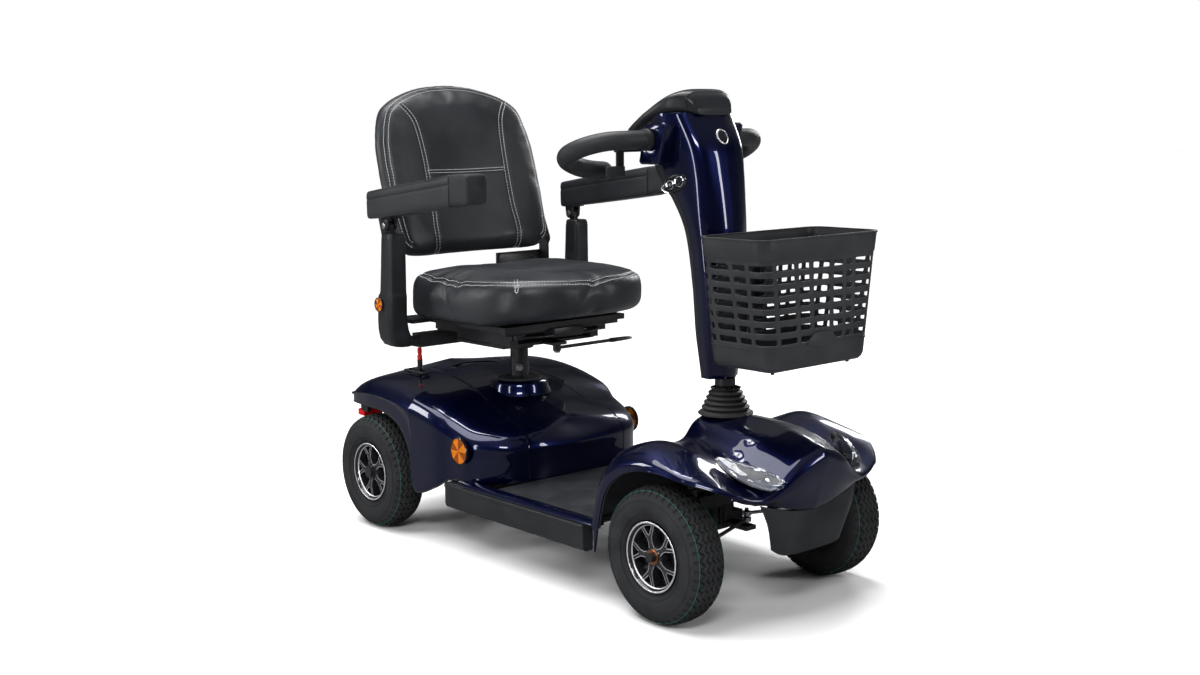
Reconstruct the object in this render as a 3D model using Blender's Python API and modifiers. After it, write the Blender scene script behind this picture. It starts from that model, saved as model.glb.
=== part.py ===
"""Four-wheel mobility scooter: chassis, body panels, steered front axle, folding tiller, swivel armchair.

Metres, +Z up. The scooter faces -Y and the rider's left is +X. Every place below is measured from the ground
under the middle of the wheelbase. The empty "wheelbase_centre" then moves the whole scooter along Y, so that
the middle of its overall length stands on the origin.
"""

import math

import bmesh
import bpy
import numpy as np
from mathutils import Matrix, Vector

# ---- driving dimensions ------------------------------------------------------------------------------------

OVERALL_CENTRE_Y = -0.0256
HALF_WHEELBASE = 0.4568
TYRE_RADIUS = 0.127
TYRE_HALF_WIDTH = 0.0415
FRONT_TRACK_X = 0.215
REAR_TRACK_X = 0.228
RIM_SEAT_RADIUS = 0.0609
SPINDLE_RADIUS = 0.0085
HUB_BORE_RADIUS = 0.009

KINGPIN_X = 0.152
STEERING_Y = -0.401
STEERING_ARM = 0.055
TILT_Z = 0.365
POST_Y = 0.2375
POST_RADIUS = 0.020
SWIVEL_Z = 0.4053
FOLD_Y = 0.410
FOLD_Z = 0.625
RECLINE = math.radians(16.5)
ARM_X = 0.2556
ARM_PAD_OFFSET, ARM_PAD_HALF = 0.0115, 0.027
ARM_PIVOT_Y = 0.350
ARM_PIVOT_Z = 0.684
LEVER_X = -0.150
LEVER_Y = 0.408
LEVER_Z = 0.300

GAP = 0.0003
PANEL = 0.003
LEFT, RIGHT = 1, -1
SIDES = ((LEFT, "left"), (RIGHT, "right"))

FRONT_AXLE = Vector((0, -HALF_WHEELBASE, TYRE_RADIUS))
REAR_AXLE = Vector((0, HALF_WHEELBASE, TYRE_RADIUS))
X_AXIS, Y_AXIS, Z_AXIS = Vector((1, 0, 0)), Vector((0, 1, 0)), Vector((0, 0, 1))

# ---- scene, materials, placing -----------------------------------------------------------------------------

for leftover in list(bpy.data.objects):
    bpy.data.objects.remove(leftover, do_unlink=True)

PARTS = bpy.data.collections.new("mobility_scooter")
CUTTERS = bpy.data.collections.new("cutters")
for group in (PARTS, CUTTERS):
    bpy.context.scene.collection.children.link(group)
CUTTERS.hide_render = True


def material(name, colour, roughness, metallic=0.0):
    made = bpy.data.materials.new(name)
    made.use_nodes = True
    shader = made.node_tree.nodes["Principled BSDF"]
    shader.inputs["Base Color"].default_value = (*colour, 1)
    shader.inputs["Roughness"].default_value = roughness
    shader.inputs["Metallic"].default_value = metallic
    made.diffuse_color = (*colour, 1)
    return made


BLUE_PAINT = material("midnight_blue_paint", (0.006, 0.013, 0.075), 0.16, 0.35)
BLACK_PLASTIC = material("black_textured_plastic", (0.018, 0.018, 0.020), 0.55)
BLACK_STEEL = material("black_powder_coat", (0.014, 0.014, 0.015), 0.38, 0.2)
BRIGHT_STEEL = material("zinc_plated_steel", (0.60, 0.60, 0.62), 0.28, 1.0)
ALLOY = material("alloy_rim", (0.10, 0.10, 0.11), 0.30, 0.9)
TYRE_RUBBER = material("tyre_rubber", (0.014, 0.014, 0.015), 0.75)
SOFT_RUBBER = material("soft_rubber", (0.020, 0.020, 0.021), 0.65)
GRIP_FOAM = material("grip_foam", (0.022, 0.022, 0.023), 0.60)
VINYL = material("black_vinyl", (0.022, 0.023, 0.025), 0.42)
AMBER = material("amber_reflector", (0.85, 0.22, 0.01), 0.20)
RED_LENS = material("red_lens", (0.55, 0.01, 0.01), 0.20)
CLEAR_LENS = material("headlamp_lens", (0.70, 0.72, 0.78), 0.08, 0.3)

ORIGIN = bpy.data.objects.new("wheelbase_centre", None)
ORIGIN.location = (0, -OVERALL_CENTRE_Y, 0)
PARTS.objects.link(ORIGIN)
PIVOT_PLACES = {ORIGIN: Vector((0, 0, 0))}


def pivot(name, place, parent=ORIGIN):
    """An empty on a joint's axis, which carries everything that the joint moves."""
    empty = bpy.data.objects.new(name, None)
    empty.empty_display_size = 0.03
    empty.parent = parent
    empty.location = Vector(place) - PIVOT_PLACES[parent]
    PIVOT_PLACES[empty] = Vector(place)
    PARTS.objects.link(empty)
    return empty


STEERING_PIVOT = pivot("steering_pivot", (0, STEERING_Y, 0.30))
TILT_PIVOT = pivot("tilt_pivot", (0, STEERING_Y, TILT_Z), STEERING_PIVOT)
SWIVEL_PIVOT = pivot("swivel_pivot", (0, POST_Y, SWIVEL_Z))
SLIDE_PIVOT = pivot("slide_pivot", (0, POST_Y, 0.445), SWIVEL_PIVOT)
FOLD_PIVOT = pivot("fold_pivot", (0, FOLD_Y, FOLD_Z), SLIDE_PIVOT)
LIFT_PIVOT = pivot("cover_lift_pivot", (0, POST_Y, 0.30))
FREEWHEEL_PIVOT = pivot("freewheel_pivot", (LEVER_X, LEVER_Y, LEVER_Z))
BASKET_PIVOT = pivot("basket_pivot", (0, -0.4865, 0.60), TILT_PIVOT)


def place(obj, coat=None, parent=ORIGIN, smooth=True):
    """Hangs an object whose vertices are already in scooter coordinates on a pivot, and gives it its material."""
    if obj.name not in PARTS.objects:
        PARTS.objects.link(obj)
    obj.parent = parent
    obj.matrix_parent_inverse = Matrix.Translation(-PIVOT_PLACES[parent])
    if coat:
        obj.data.materials.clear()
        obj.data.materials.append(coat)
    if smooth and obj.type == "MESH":
        obj.data.shade_smooth()
        obj.data.set_sharp_from_angle(angle=math.radians(35))
    return obj


def as_cutter(obj):
    for holder in list(obj.users_collection):
        holder.objects.unlink(obj)
    CUTTERS.objects.link(obj)
    obj.parent = ORIGIN
    obj.hide_render = True
    obj.display_type = "WIRE"
    return obj


def boolean(obj, operation, others):
    for other in others:
        change = obj.modifiers.new(f"{operation.lower()}_{other.name}"[:60], "BOOLEAN")
        change.operation = operation
        change.solver = "EXACT"
        change.object = as_cutter(other)
    return obj


def join(obj, *others):
    return boolean(obj, "UNION", others)


def cut(obj, *others):
    return boolean(obj, "DIFFERENCE", others)


# ---- shapes ------------------------------------------------------------------------------------------------


def from_bmesh(name, mesh_data):
    mesh = bpy.data.meshes.new(name)
    mesh_data.to_mesh(mesh)
    mesh_data.free()
    return bpy.data.objects.new(name, mesh)


def bevelled(obj, width, segments=1, angle=35):
    if width:
        edge = obj.modifiers.new("bevel", "BEVEL")
        edge.width = width
        edge.segments = segments
        edge.limit_method = "ANGLE"
        edge.angle_limit = math.radians(angle)
    return obj


def box(name, low, high, bevel=0.0, segments=1, top_scale=(1, 1)):
    """A box between two corners. top_scale narrows its top face in X and Y."""
    low, high = Vector(low), Vector(high)
    size, centre = high - low, (low + high) / 2
    shape = bmesh.new()
    bmesh.ops.create_cube(shape, size=1)
    for vertex in shape.verts:
        if vertex.co.z > 0:
            vertex.co.x *= top_scale[0]
            vertex.co.y *= top_scale[1]
        vertex.co = Vector(a * b for a, b in zip(vertex.co, size)) + centre
    return bevelled(from_bmesh(name, shape), bevel, segments)


def rod(name, start, end, radius, sides=16, end_radius=None):
    """A cylinder, or a cone where end_radius differs, from start to end."""
    start, end = Vector(start), Vector(end)
    along = end - start
    shape = bmesh.new()
    bmesh.ops.create_cone(
        shape, cap_ends=True, segments=sides, radius1=radius,
        radius2=radius if end_radius is None else end_radius, depth=along.length,
    )
    turn = Z_AXIS.rotation_difference(along).to_matrix().to_4x4()
    bmesh.ops.transform(shape, matrix=Matrix.Translation((start + end) / 2) @ turn, verts=shape.verts)
    return from_bmesh(name, shape)


def turned(name, profile, steps, centre, axis=Z_AXIS, closed=True):
    """A profile of (radius, height) turned about the axis through centre. Its outer side runs down."""
    shape = bmesh.new()
    corners = [shape.verts.new((radius, 0, height)) for radius, height in profile]
    pairs = list(zip(corners, corners[1:])) + ([(corners[-1], corners[0])] if closed else [])
    for pair in pairs:
        shape.edges.new(pair)
    obj = from_bmesh(name, shape)
    screw = obj.modifiers.new("turn", "SCREW")
    screw.steps = screw.render_steps = steps
    screw.use_merge_vertices = True
    screw.merge_threshold = 0.00001
    obj.matrix_world = Matrix.Translation(centre) @ Z_AXIS.rotation_difference(axis).to_matrix().to_4x4()
    return obj


def baked(obj, name=None):
    """The evaluated shape as a plain mesh in scooter coordinates, with any loose caps welded."""
    temporary = not obj.users_collection
    if temporary:
        CUTTERS.objects.link(obj)
    bpy.context.view_layer.update()
    graph = bpy.context.evaluated_depsgraph_get()
    mesh = bpy.data.meshes.new_from_object(obj.evaluated_get(graph), depsgraph=graph)
    shape = bmesh.new()
    shape.from_mesh(mesh)
    bmesh.ops.transform(shape, matrix=obj.matrix_world, verts=shape.verts)
    bmesh.ops.remove_doubles(shape, verts=shape.verts, dist=0.00002)
    bmesh.ops.recalc_face_normals(shape, faces=shape.faces)
    old_name = obj.name
    bpy.data.objects.remove(obj, do_unlink=True)
    bpy.data.meshes.remove(mesh)
    return from_bmesh(name or old_name, shape)


def tube(name, points, radius, resolution=2, cyclic=False):
    curve = bpy.data.curves.new(name, "CURVE")
    curve.dimensions = "3D"
    curve.bevel_depth = radius
    curve.bevel_resolution = resolution
    curve.use_fill_caps = not cyclic
    line = curve.splines.new("POLY")
    line.points.add(len(points) - 1)
    for corner, point in zip(line.points, points):
        corner.co = (*point, 1)
    line.use_cyclic_u = cyclic
    return baked(bpy.data.objects.new(name, curve))


PLANES = {
    "XY": Matrix(((1, 0, 0), (0, 1, 0), (0, 0, 1))),
    "XZ": Matrix(((1, 0, 0), (0, 0, -1), (0, 1, 0))),
    "YZ": Matrix(((0, 0, 1), (1, 0, 0), (0, 1, 0))),
}


def slab(name, outline, plane, low, high, edge=0.0, resolution=1):
    """A flat outline in the plane, filled from low to high along the plane's normal, with rounded edges."""
    curve = bpy.data.curves.new(name, "CURVE")
    curve.dimensions = "2D"
    curve.fill_mode = "BOTH"
    curve.extrude = (high - low) / 2 - edge
    curve.bevel_depth = edge
    curve.bevel_resolution = resolution
    curve.offset = -edge
    line = curve.splines.new("POLY")
    line.points.add(len(outline) - 1)
    for corner, (u, v) in zip(line.points, outline):
        corner.co = (u, v, 0, 1)
    line.use_cyclic_u = True
    obj = bpy.data.objects.new(name, curve)
    middle = (high + low) / 2 * (-1 if plane == "XZ" else 1)
    turn = PLANES[plane].to_4x4()
    obj.matrix_world = turn @ Matrix.Translation((0, 0, middle))
    return baked(obj)


def spline(points, samples):
    """Catmull-Rom curve through the points along their first axis."""
    points = np.asarray(points, float)
    ends = np.concatenate([2 * points[:1] - points[1:2], points, 2 * points[-1:] - points[-2:-1]])
    at = np.linspace(0, len(points) - 1, samples)
    first = np.minimum(at.astype(int), len(points) - 2)
    t = (at - first).reshape(-1, *[1] * (points.ndim - 1))
    a, b, c, d = (ends[first + shift] for shift in range(4))
    return 0.5 * (2 * b + (c - a) * t + (2 * a - 5 * b + 4 * c - d) * t**2 + (3 * b - a - 3 * c + d) * t**3)


def grid_faces(shape, grid, wrap=False):
    corners = [[shape.verts.new(point) for point in row] for row in grid]
    for row, following in zip(corners, corners[1:]):
        count = len(row)
        for i in range(count if wrap else count - 1):
            j = (i + 1) % count
            shape.faces.new((row[i], row[j], following[j], following[i]))
    return corners


def panel(name, sections, along, across, thickness, mirror=True, flip=False):
    """A shell over a net of section points: splined both ways, mirrored at X = 0 and thickened inwards."""
    net = spline(np.swapaxes(spline(sections, along), 0, 1), across)
    if mirror:
        net[..., 0] = np.maximum(net[..., 0], 0)
    shape = bmesh.new()
    grid_faces(shape, net)
    if flip:
        bmesh.ops.reverse_faces(shape, faces=shape.faces)
    obj = from_bmesh(name, shape)
    if mirror:
        other_half = obj.modifiers.new("mirror", "MIRROR")
        other_half.merge_threshold = 0.00001
    wall = obj.modifiers.new("wall", "SOLIDIFY")
    wall.thickness = thickness
    wall.offset = -1
    return obj


def loft(name, rings):
    """A closed body through rings of equal point counts, capped at both ends."""
    shape = bmesh.new()
    corners = grid_faces(shape, rings, wrap=True)
    shape.faces.new(corners[0])
    shape.faces.new(corners[-1])
    bmesh.ops.recalc_face_normals(shape, faces=shape.faces)
    return from_bmesh(name, shape)


def rounded_ring(centre, half_u, half_v, plane, points=16, power=3.0):
    """A superellipse ring: power 2 is an ellipse, and higher powers are closer to a rectangle."""
    ring = []
    for i in range(points):
        angle = 2 * math.pi * (i + 0.5) / points
        u = half_u * math.copysign(abs(math.cos(angle)) ** (2 / power), math.cos(angle))
        v = half_v * math.copysign(abs(math.sin(angle)) ** (2 / power), math.sin(angle))
        ring.append(Vector(centre) + PLANES[plane] @ Vector((u, v, 0)))
    return ring


def arc(centre, radius, start, end, points):
    """Points on a circle, as (u, v), from one angle in degrees to another."""
    angles = np.radians(np.linspace(start, end, points))
    return [(centre[0] + radius * math.cos(a), centre[1] + radius * math.sin(a)) for a in angles]


# ---- chassis -----------------------------------------------------------------------------------------------

RAIL_X, RAIL_LOW, RAIL_HIGH = 0.075, 0.105, 0.135
RAIL_HALF = 0.015
FRAME_FRONT, FRAME_REAR = -0.360, 0.425
OUTRIGGER_X = 0.219
NECK_FACE_Y = -0.370
AXLE_LOW, AXLE_HIGH = 0.196, 0.220
BOSS_LOW, BOSS_HIGH = 0.180, 0.236


def build_frame():
    def beam(name, low_x, high_x, low_y, high_y, low_z=RAIL_LOW, high_z=RAIL_HIGH):
        return box(name, (low_x, low_y, low_z), (high_x, high_y, high_z))

    frame = beam("main_frame", RAIL_X - RAIL_HALF, RAIL_X + RAIL_HALF, FRAME_FRONT, FRAME_REAR)
    pieces = [beam("rail", -RAIL_X - RAIL_HALF, RAIL_HALF - RAIL_X, FRAME_FRONT, FRAME_REAR)]
    for y, reach in ((-0.345, 0.090), (-0.150, OUTRIGGER_X), (0.150, OUTRIGGER_X), (POST_Y, 0.090), (0.400, 0.090)):
        pieces.append(beam("crossmember", -reach, reach, y - 0.0148, y + 0.0148))
    pieces.append(beam("neck", -0.048, 0.048, NECK_FACE_Y, -0.340, RAIL_LOW + 0.004, 0.284))
    place(join(frame, *pieces), BLACK_STEEL, smooth=False)

    head = rod("steering_head", (0, STEERING_Y, 0.200), (0, STEERING_Y, 0.334), 0.024, 20)
    join(head, box("head_bracket", (-0.025, STEERING_Y, 0.210), (0.025, NECK_FACE_Y - GAP, 0.288)))
    cut(head, rod("head_bore", (0, STEERING_Y, 0.10), (0, STEERING_Y, 0.40), 0.0165, 20))
    place(head, BLACK_STEEL)

    axle_y = FRONT_AXLE.y
    axle = box("front_axle_beam", (-0.142, axle_y - 0.016, AXLE_LOW), (0.142, axle_y + 0.016, AXLE_HIGH))
    kingpins = [Vector((side * KINGPIN_X, FRONT_AXLE.y, 0)) for side, _ in SIDES]
    for side, _ in SIDES:
        ends = sorted((side * 0.030, side * 0.046))
        tongue_low, tongue_high = AXLE_LOW + 0.001, AXLE_HIGH - 0.001
        join(axle, box("axle_tongue", (ends[0], axle_y, tongue_low), (ends[1], NECK_FACE_Y - GAP, tongue_high)))
    for foot in kingpins:
        join(axle, rod("kingpin_boss", foot + Z_AXIS * BOSS_LOW, foot + Z_AXIS * BOSS_HIGH, 0.0145))
    for foot in kingpins:
        cut(axle, rod("kingpin_bore", foot + Z_AXIS * 0.1, foot + Z_AXIS * 0.3, 0.0086))
    place(axle, BLACK_STEEL)

    post = rod("seat_post", (0, POST_Y, RAIL_HIGH + GAP), (0, POST_Y, SWIVEL_Z - GAP), POST_RADIUS, 24)
    join(post, rod("post_flange", (0, POST_Y, RAIL_HIGH + GAP), (0, POST_Y, 0.143), 0.042, 24))
    place(post, BLACK_STEEL)


def build_drive():
    y, z = REAR_AXLE.y, REAR_AXLE.z
    unit = rod("drive_unit", (-0.150, y, z), (0.150, y, z), 0.023, 20)
    motor_y = y + 0.010
    join(
        unit,
        rod("differential", (-0.034, y + 0.006, z), (0.034, y + 0.006, z), 0.036, 20),
        rod("motor", (0.028, motor_y, z + 0.058), (0.140, motor_y, z + 0.058), 0.040, 20),
        box("gearbox", (0.006, y - 0.022, z - 0.010), (0.036, y + 0.046, z + 0.074), 0.006),
        *[box("mount", (x - 0.013, FRAME_REAR + GAP, 0.108), (x + 0.013, y, 0.132)) for x in (RAIL_X, -RAIL_X)],
    )
    place(unit, BLACK_STEEL)
    battery = box("battery_pack", (-0.108, 0.066, RAIL_HIGH + GAP), (0.108, 0.190, 0.245), 0.006)
    place(battery, BLACK_PLASTIC)
    controller = box("motor_controller", (-0.055, 0.284, RAIL_HIGH + GAP), (0.055, 0.380, 0.180), 0.004)
    place(controller, BLACK_STEEL)


# ---- wheels ------------------------------------------------------------------------------------------------

WHEEL_STEPS = 28
TYRE_PROFILE = [
    (0.0670, 0.0280), (0.0930, TYRE_HALF_WIDTH), (0.1130, 0.0390), (0.1225, 0.0290), (TYRE_RADIUS, 0.0130),
    (TYRE_RADIUS, -0.0130), (0.1225, -0.0290), (0.1130, -0.0390), (0.0930, -TYRE_HALF_WIDTH), (0.0670, -0.0280),
    (0.0618, -0.0275), (0.0618, 0.0275),
]
RIM_PROFILE = [
    (0.0650, 0.0340), (0.0650, 0.0284), (RIM_SEAT_RADIUS, 0.0280), (RIM_SEAT_RADIUS, -0.0280), (0.0650, -0.0340),
    (0.0580, -0.0340), (0.0560, 0.0130), (0.0220, 0.0120), (0.0220, -0.0180), (HUB_BORE_RADIUS, -0.0180),
    (HUB_BORE_RADIUS, 0.0290), (0.0200, 0.0290), (0.0240, 0.0210), (0.0560, 0.0240),
]
RIM_STEPS = 20
SPOKES = 5


def build_wheel(position, centre, outward, parent):
    """Tyre and five-spoke rim about the X axis. outward is the side that the spokes face."""
    axis = X_AXIS * outward
    tyre = turned(f"{position}_tyre", TYRE_PROFILE, WHEEL_STEPS, centre, axis)
    place(baked(tyre), TYRE_RUBBER, parent)
    rim = baked(turned(f"{position}_rim", RIM_PROFILE, RIM_STEPS, centre, axis))
    for spoke in range(SPOKES):
        turn = Matrix.Rotation(2 * math.pi * (spoke + 0.5) / SPOKES, 4, "X")
        window = box(f"{position}_window", (0.004, -0.017, 0.028), (0.040, 0.017, 0.0505))
        for vertex in window.data.vertices:
            if vertex.co.z < 0.035:
                vertex.co.y *= 0.55
        facing = Matrix.Diagonal((outward, 1, 1, 1))
        window.data.transform(Matrix.Translation(centre) @ facing @ turn)
        if outward < 0:
            window.data.flip_normals()
        cut(rim, window)
    place(rim, ALLOY, parent)


def build_rear_wheels():
    for side, word in SIDES:
        centre = REAR_AXLE + X_AXIS * side * REAR_TRACK_X
        spin = pivot(f"rear_{word}_spin_pivot", centre)
        build_wheel(f"rear_{word}", centre, side, spin)
        shaft = rod(
            f"rear_axle_{word}", REAR_AXLE + X_AXIS * side * (0.150 + GAP), REAR_AXLE + X_AXIS * side * 0.2590,
            SPINDLE_RADIUS,
        )
        join(shaft, rod("axle_nut", REAR_AXLE + X_AXIS * side * 0.2575, REAR_AXLE + X_AXIS * side * 0.2660, 0.013))
        place(shaft, BLACK_STEEL, spin)


# ---- steering ----------------------------------------------------------------------------------------------

ROD_HEIGHTS = {"left": 0.162, "right": 0.150}
ROD_EYE_HALF = 0.004
PIN_RADIUS, EYE_RADIUS = 0.004, 0.0048


def build_steering():
    shaft = rod("steering_shaft", (0, STEERING_Y, 0.130), (0, STEERING_Y, 0.346), 0.0155, 20)
    pin_y = STEERING_Y - STEERING_ARM
    lug_outline = arc((STEERING_Y, TILT_Z), 0.018, -10, 190, 9) + [
        (STEERING_Y - 0.015, 0.340), (STEERING_Y + 0.015, 0.340)
    ]
    join(
        shaft,
        rod("shaft_collar", (0, STEERING_Y, 0.3343), (0, STEERING_Y, 0.3420), 0.024, 20),
        slab("shaft_lug", lug_outline, "YZ", -0.008, 0.008),
        box("pitman_arm", (-0.013, pin_y - 0.012, 0.131), (0.013, STEERING_Y, 0.1395)),
        rod("pitman_pin", (0, pin_y, 0.136), (0, pin_y, 0.172), PIN_RADIUS, 12),
    )
    cut(shaft, rod("tilt_bore", (-0.03, STEERING_Y, TILT_Z), (0.03, STEERING_Y, TILT_Z), 0.0056, 12))
    place(shaft, BLACK_STEEL, STEERING_PIVOT)

    for side, word in SIDES:
        level = ROD_HEIGHTS[word]
        inner = Vector((0, pin_y, level))
        outer = Vector((side * KINGPIN_X, FRONT_AXLE.y - STEERING_ARM, level))
        rod_pivot = pivot(f"tie_rod_{word}_pivot", inner, STEERING_PIVOT)
        along = (outer - inner).normalized()
        tie = rod(f"tie_rod_{word}", inner + along * 0.006, outer - along * 0.006, 0.0036, 12)
        for eye in (inner, outer):
            lift = Z_AXIS * ROD_EYE_HALF
            join(tie, rod("rod_eye", eye - lift, eye + lift, 0.009, 14))
        for eye in (inner, outer):
            cut(tie, rod("eye_bore", eye - Z_AXIS * 0.02, eye + Z_AXIS * 0.02, EYE_RADIUS, 12))
        place(tie, BRIGHT_STEEL, rod_pivot)
        build_knuckle(side, word, level)


def build_knuckle(side, word, rod_level):
    x, y = side * KINGPIN_X, FRONT_AXLE.y
    turn_pivot = pivot(f"knuckle_{word}_pivot", (x, y, TYRE_RADIUS))

    arm_low = rod_level - ROD_EYE_HALF - 0.008
    arm_high = rod_level - ROD_EYE_HALF - 0.0006
    arm_end_y = y - STEERING_ARM
    knuckle = rod(f"knuckle_{word}", (x, y, 0.120), (x, y, BOSS_HIGH + 0.008), 0.0080)
    join(
        knuckle,
        rod("upright", (x, y, 0.114), (x, y, BOSS_LOW - 0.0006), 0.0130),
        rod("kingpin_nut", (x, y, BOSS_HIGH + 0.0006), (x, y, BOSS_HIGH + 0.0080), 0.0120, 6),
        rod("spindle", (x, y, TYRE_RADIUS), (side * 0.2540, y, TYRE_RADIUS), SPINDLE_RADIUS),
        box("steering_arm", (x - 0.009, arm_end_y - 0.009, arm_low), (x + 0.009, y, arm_high)),
        rod("arm_pin", (x, arm_end_y, arm_low + 0.002), (x, arm_end_y, rod_level + 0.010), PIN_RADIUS, 12),
    )
    place(knuckle, BLACK_STEEL, turn_pivot)
    centre = FRONT_AXLE + X_AXIS * side * FRONT_TRACK_X
    spin = pivot(f"front_{word}_spin_pivot", centre, turn_pivot)
    build_wheel(f"front_{word}", centre, side, spin)


# ---- body panels -------------------------------------------------------------------------------------------

COWL_TOP = [  # height of the middle line along y
    (0.02, 0.262), (0.09, 0.282), (0.20, 0.312), (0.30, 0.333), (0.40, 0.347), (0.50, 0.350), (0.56, 0.330),
    (0.62, 0.305),
]
COWL_EDGE = [  # plan x and y, bottom edge z, shoulder z, and the y where the panel meets the middle line
    (0.000, 0.030, 0.156, 0.258, 0.080), (0.100, 0.034, 0.156, 0.258, 0.095), (0.164, 0.052, 0.156, 0.258, 0.120),
    (0.200, 0.084, 0.155, 0.262, 0.150), (0.226, 0.126, 0.153, 0.266, 0.190), (0.236, 0.182, 0.152, 0.284, 0.230),
    (0.247, 0.222, 0.130, 0.303, 0.265), (0.253, 0.290, 0.112, 0.318, 0.310), (0.254, 0.306, 0.196, 0.322, 0.330),
    (0.254, 0.345, 0.249, 0.328, 0.360), (0.253, 0.410, 0.270, 0.333, 0.410), (0.250, 0.490, 0.273, 0.330, 0.460),
    (0.236, 0.556, 0.272, 0.312, 0.500), (0.180, 0.588, 0.272, 0.303, 0.520), (0.090, 0.598, 0.272, 0.301, 0.530),
    (0.000, 0.600, 0.272, 0.300, 0.535),
]
COVER_OUTLINE = [(0.128, 0.000), (0.128, 0.090), (0.108, 0.260), (0.096, 0.430), (0.080, 0.446), (0.0, 0.448)]
SEAM = 0.0015
SHROUD_NET = [  # rows from the heel of the shroud to its nose, each from the middle line out to the lower edge
    [(0, -0.346, 0.288), (0.050, -0.343, 0.287), (0.085, -0.338, 0.285), (0.125, -0.332, 0.281),
     (0.185, -0.318, 0.268), (0.222, -0.309, 0.238), (0.250, -0.306, 0.180), (0.253, -0.310, 0.106)],
    [(0, -0.357, 0.297), (0.050, -0.355, 0.295), (0.082, -0.350, 0.292), (0.125, -0.346, 0.291),
     (0.185, -0.338, 0.292), (0.224, -0.331, 0.278), (0.249, -0.328, 0.245), (0.253, -0.336, 0.212)],
    [(0, -0.361, 0.342), (0.048, -0.367, 0.331), (0.075, -0.371, 0.303), (0.122, -0.374, 0.299),
     (0.188, -0.371, 0.309), (0.224, -0.368, 0.304), (0.248, -0.366, 0.280), (0.252, -0.370, 0.257)],
    [(0, -0.415, 0.346), (0.056, -0.418, 0.335), (0.086, -0.420, 0.309), (0.124, -0.420, 0.306),
     (0.184, -0.420, 0.322), (0.219, -0.420, 0.317), (0.246, -0.420, 0.297), (0.251, -0.420, 0.279)],
    [(0, -0.480, 0.348), (0.060, -0.480, 0.333), (0.094, -0.480, 0.308), (0.130, -0.480, 0.300),
     (0.178, -0.480, 0.312), (0.213, -0.480, 0.309), (0.243, -0.480, 0.296), (0.250, -0.480, 0.283)],
    [(0, -0.545, 0.342), (0.062, -0.545, 0.326), (0.100, -0.543, 0.296), (0.134, -0.540, 0.281),
     (0.172, -0.540, 0.285), (0.206, -0.540, 0.290), (0.238, -0.538, 0.286), (0.247, -0.536, 0.277)],
    [(0, -0.612, 0.326), (0.060, -0.608, 0.306), (0.100, -0.600, 0.273), (0.135, -0.592, 0.257),
     (0.168, -0.585, 0.260), (0.196, -0.581, 0.269), (0.217, -0.577, 0.272), (0.225, -0.574, 0.268)],
    [(0, -0.649, 0.302), (0.055, -0.643, 0.281), (0.095, -0.633, 0.256), (0.125, -0.625, 0.243),
     (0.152, -0.618, 0.244), (0.172, -0.613, 0.250), (0.187, -0.608, 0.256), (0.194, -0.604, 0.254)],
    [(0, -0.622, 0.205), (0.050, -0.621, 0.212), (0.090, -0.619, 0.223), (0.120, -0.616, 0.231),
     (0.146, -0.612, 0.236), (0.167, -0.607, 0.241), (0.182, -0.602, 0.247), (0.190, -0.598, 0.249)],
]


def cowl_sections():
    """Rear cowl net: one row for each point of its plan outline, from the bottom edge up and in to the middle."""
    edge = np.array(COWL_EDGE)
    heights = np.array(COWL_TOP)
    rows = []
    for x, y, low, shoulder, middle_y in edge:
        inward = np.array((0 - x, middle_y - y))
        inward /= max(np.linalg.norm(inward), 1e-6)
        step = 0.030 * inward
        wall = shoulder - low
        middle = np.array((0, middle_y, np.interp(middle_y, heights[:, 0], heights[:, 1])))
        lip = np.array((x + step[0], y + step[1], shoulder))
        rows.append([
            (x, y, low), (x, y, low + 0.45 * wall), (x, y, shoulder - min(0.027, 0.5 * wall)), lip,
            0.62 * lip + 0.38 * middle + (0, 0, 0.004), 0.28 * lip + 0.72 * middle + (0, 0, 0.002), middle,
        ])
    return rows


def cover_prism(name, grow):
    outline = [(x + grow if x else x, y + (grow if y > 0.4 else 0)) for x, y in COVER_OUTLINE]
    whole = [(x, y) for x, y in outline] + [(-x, y) for x, y in reversed(outline) if x]
    return slab(name, whole, "XY", 0.10, 0.45)


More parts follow.
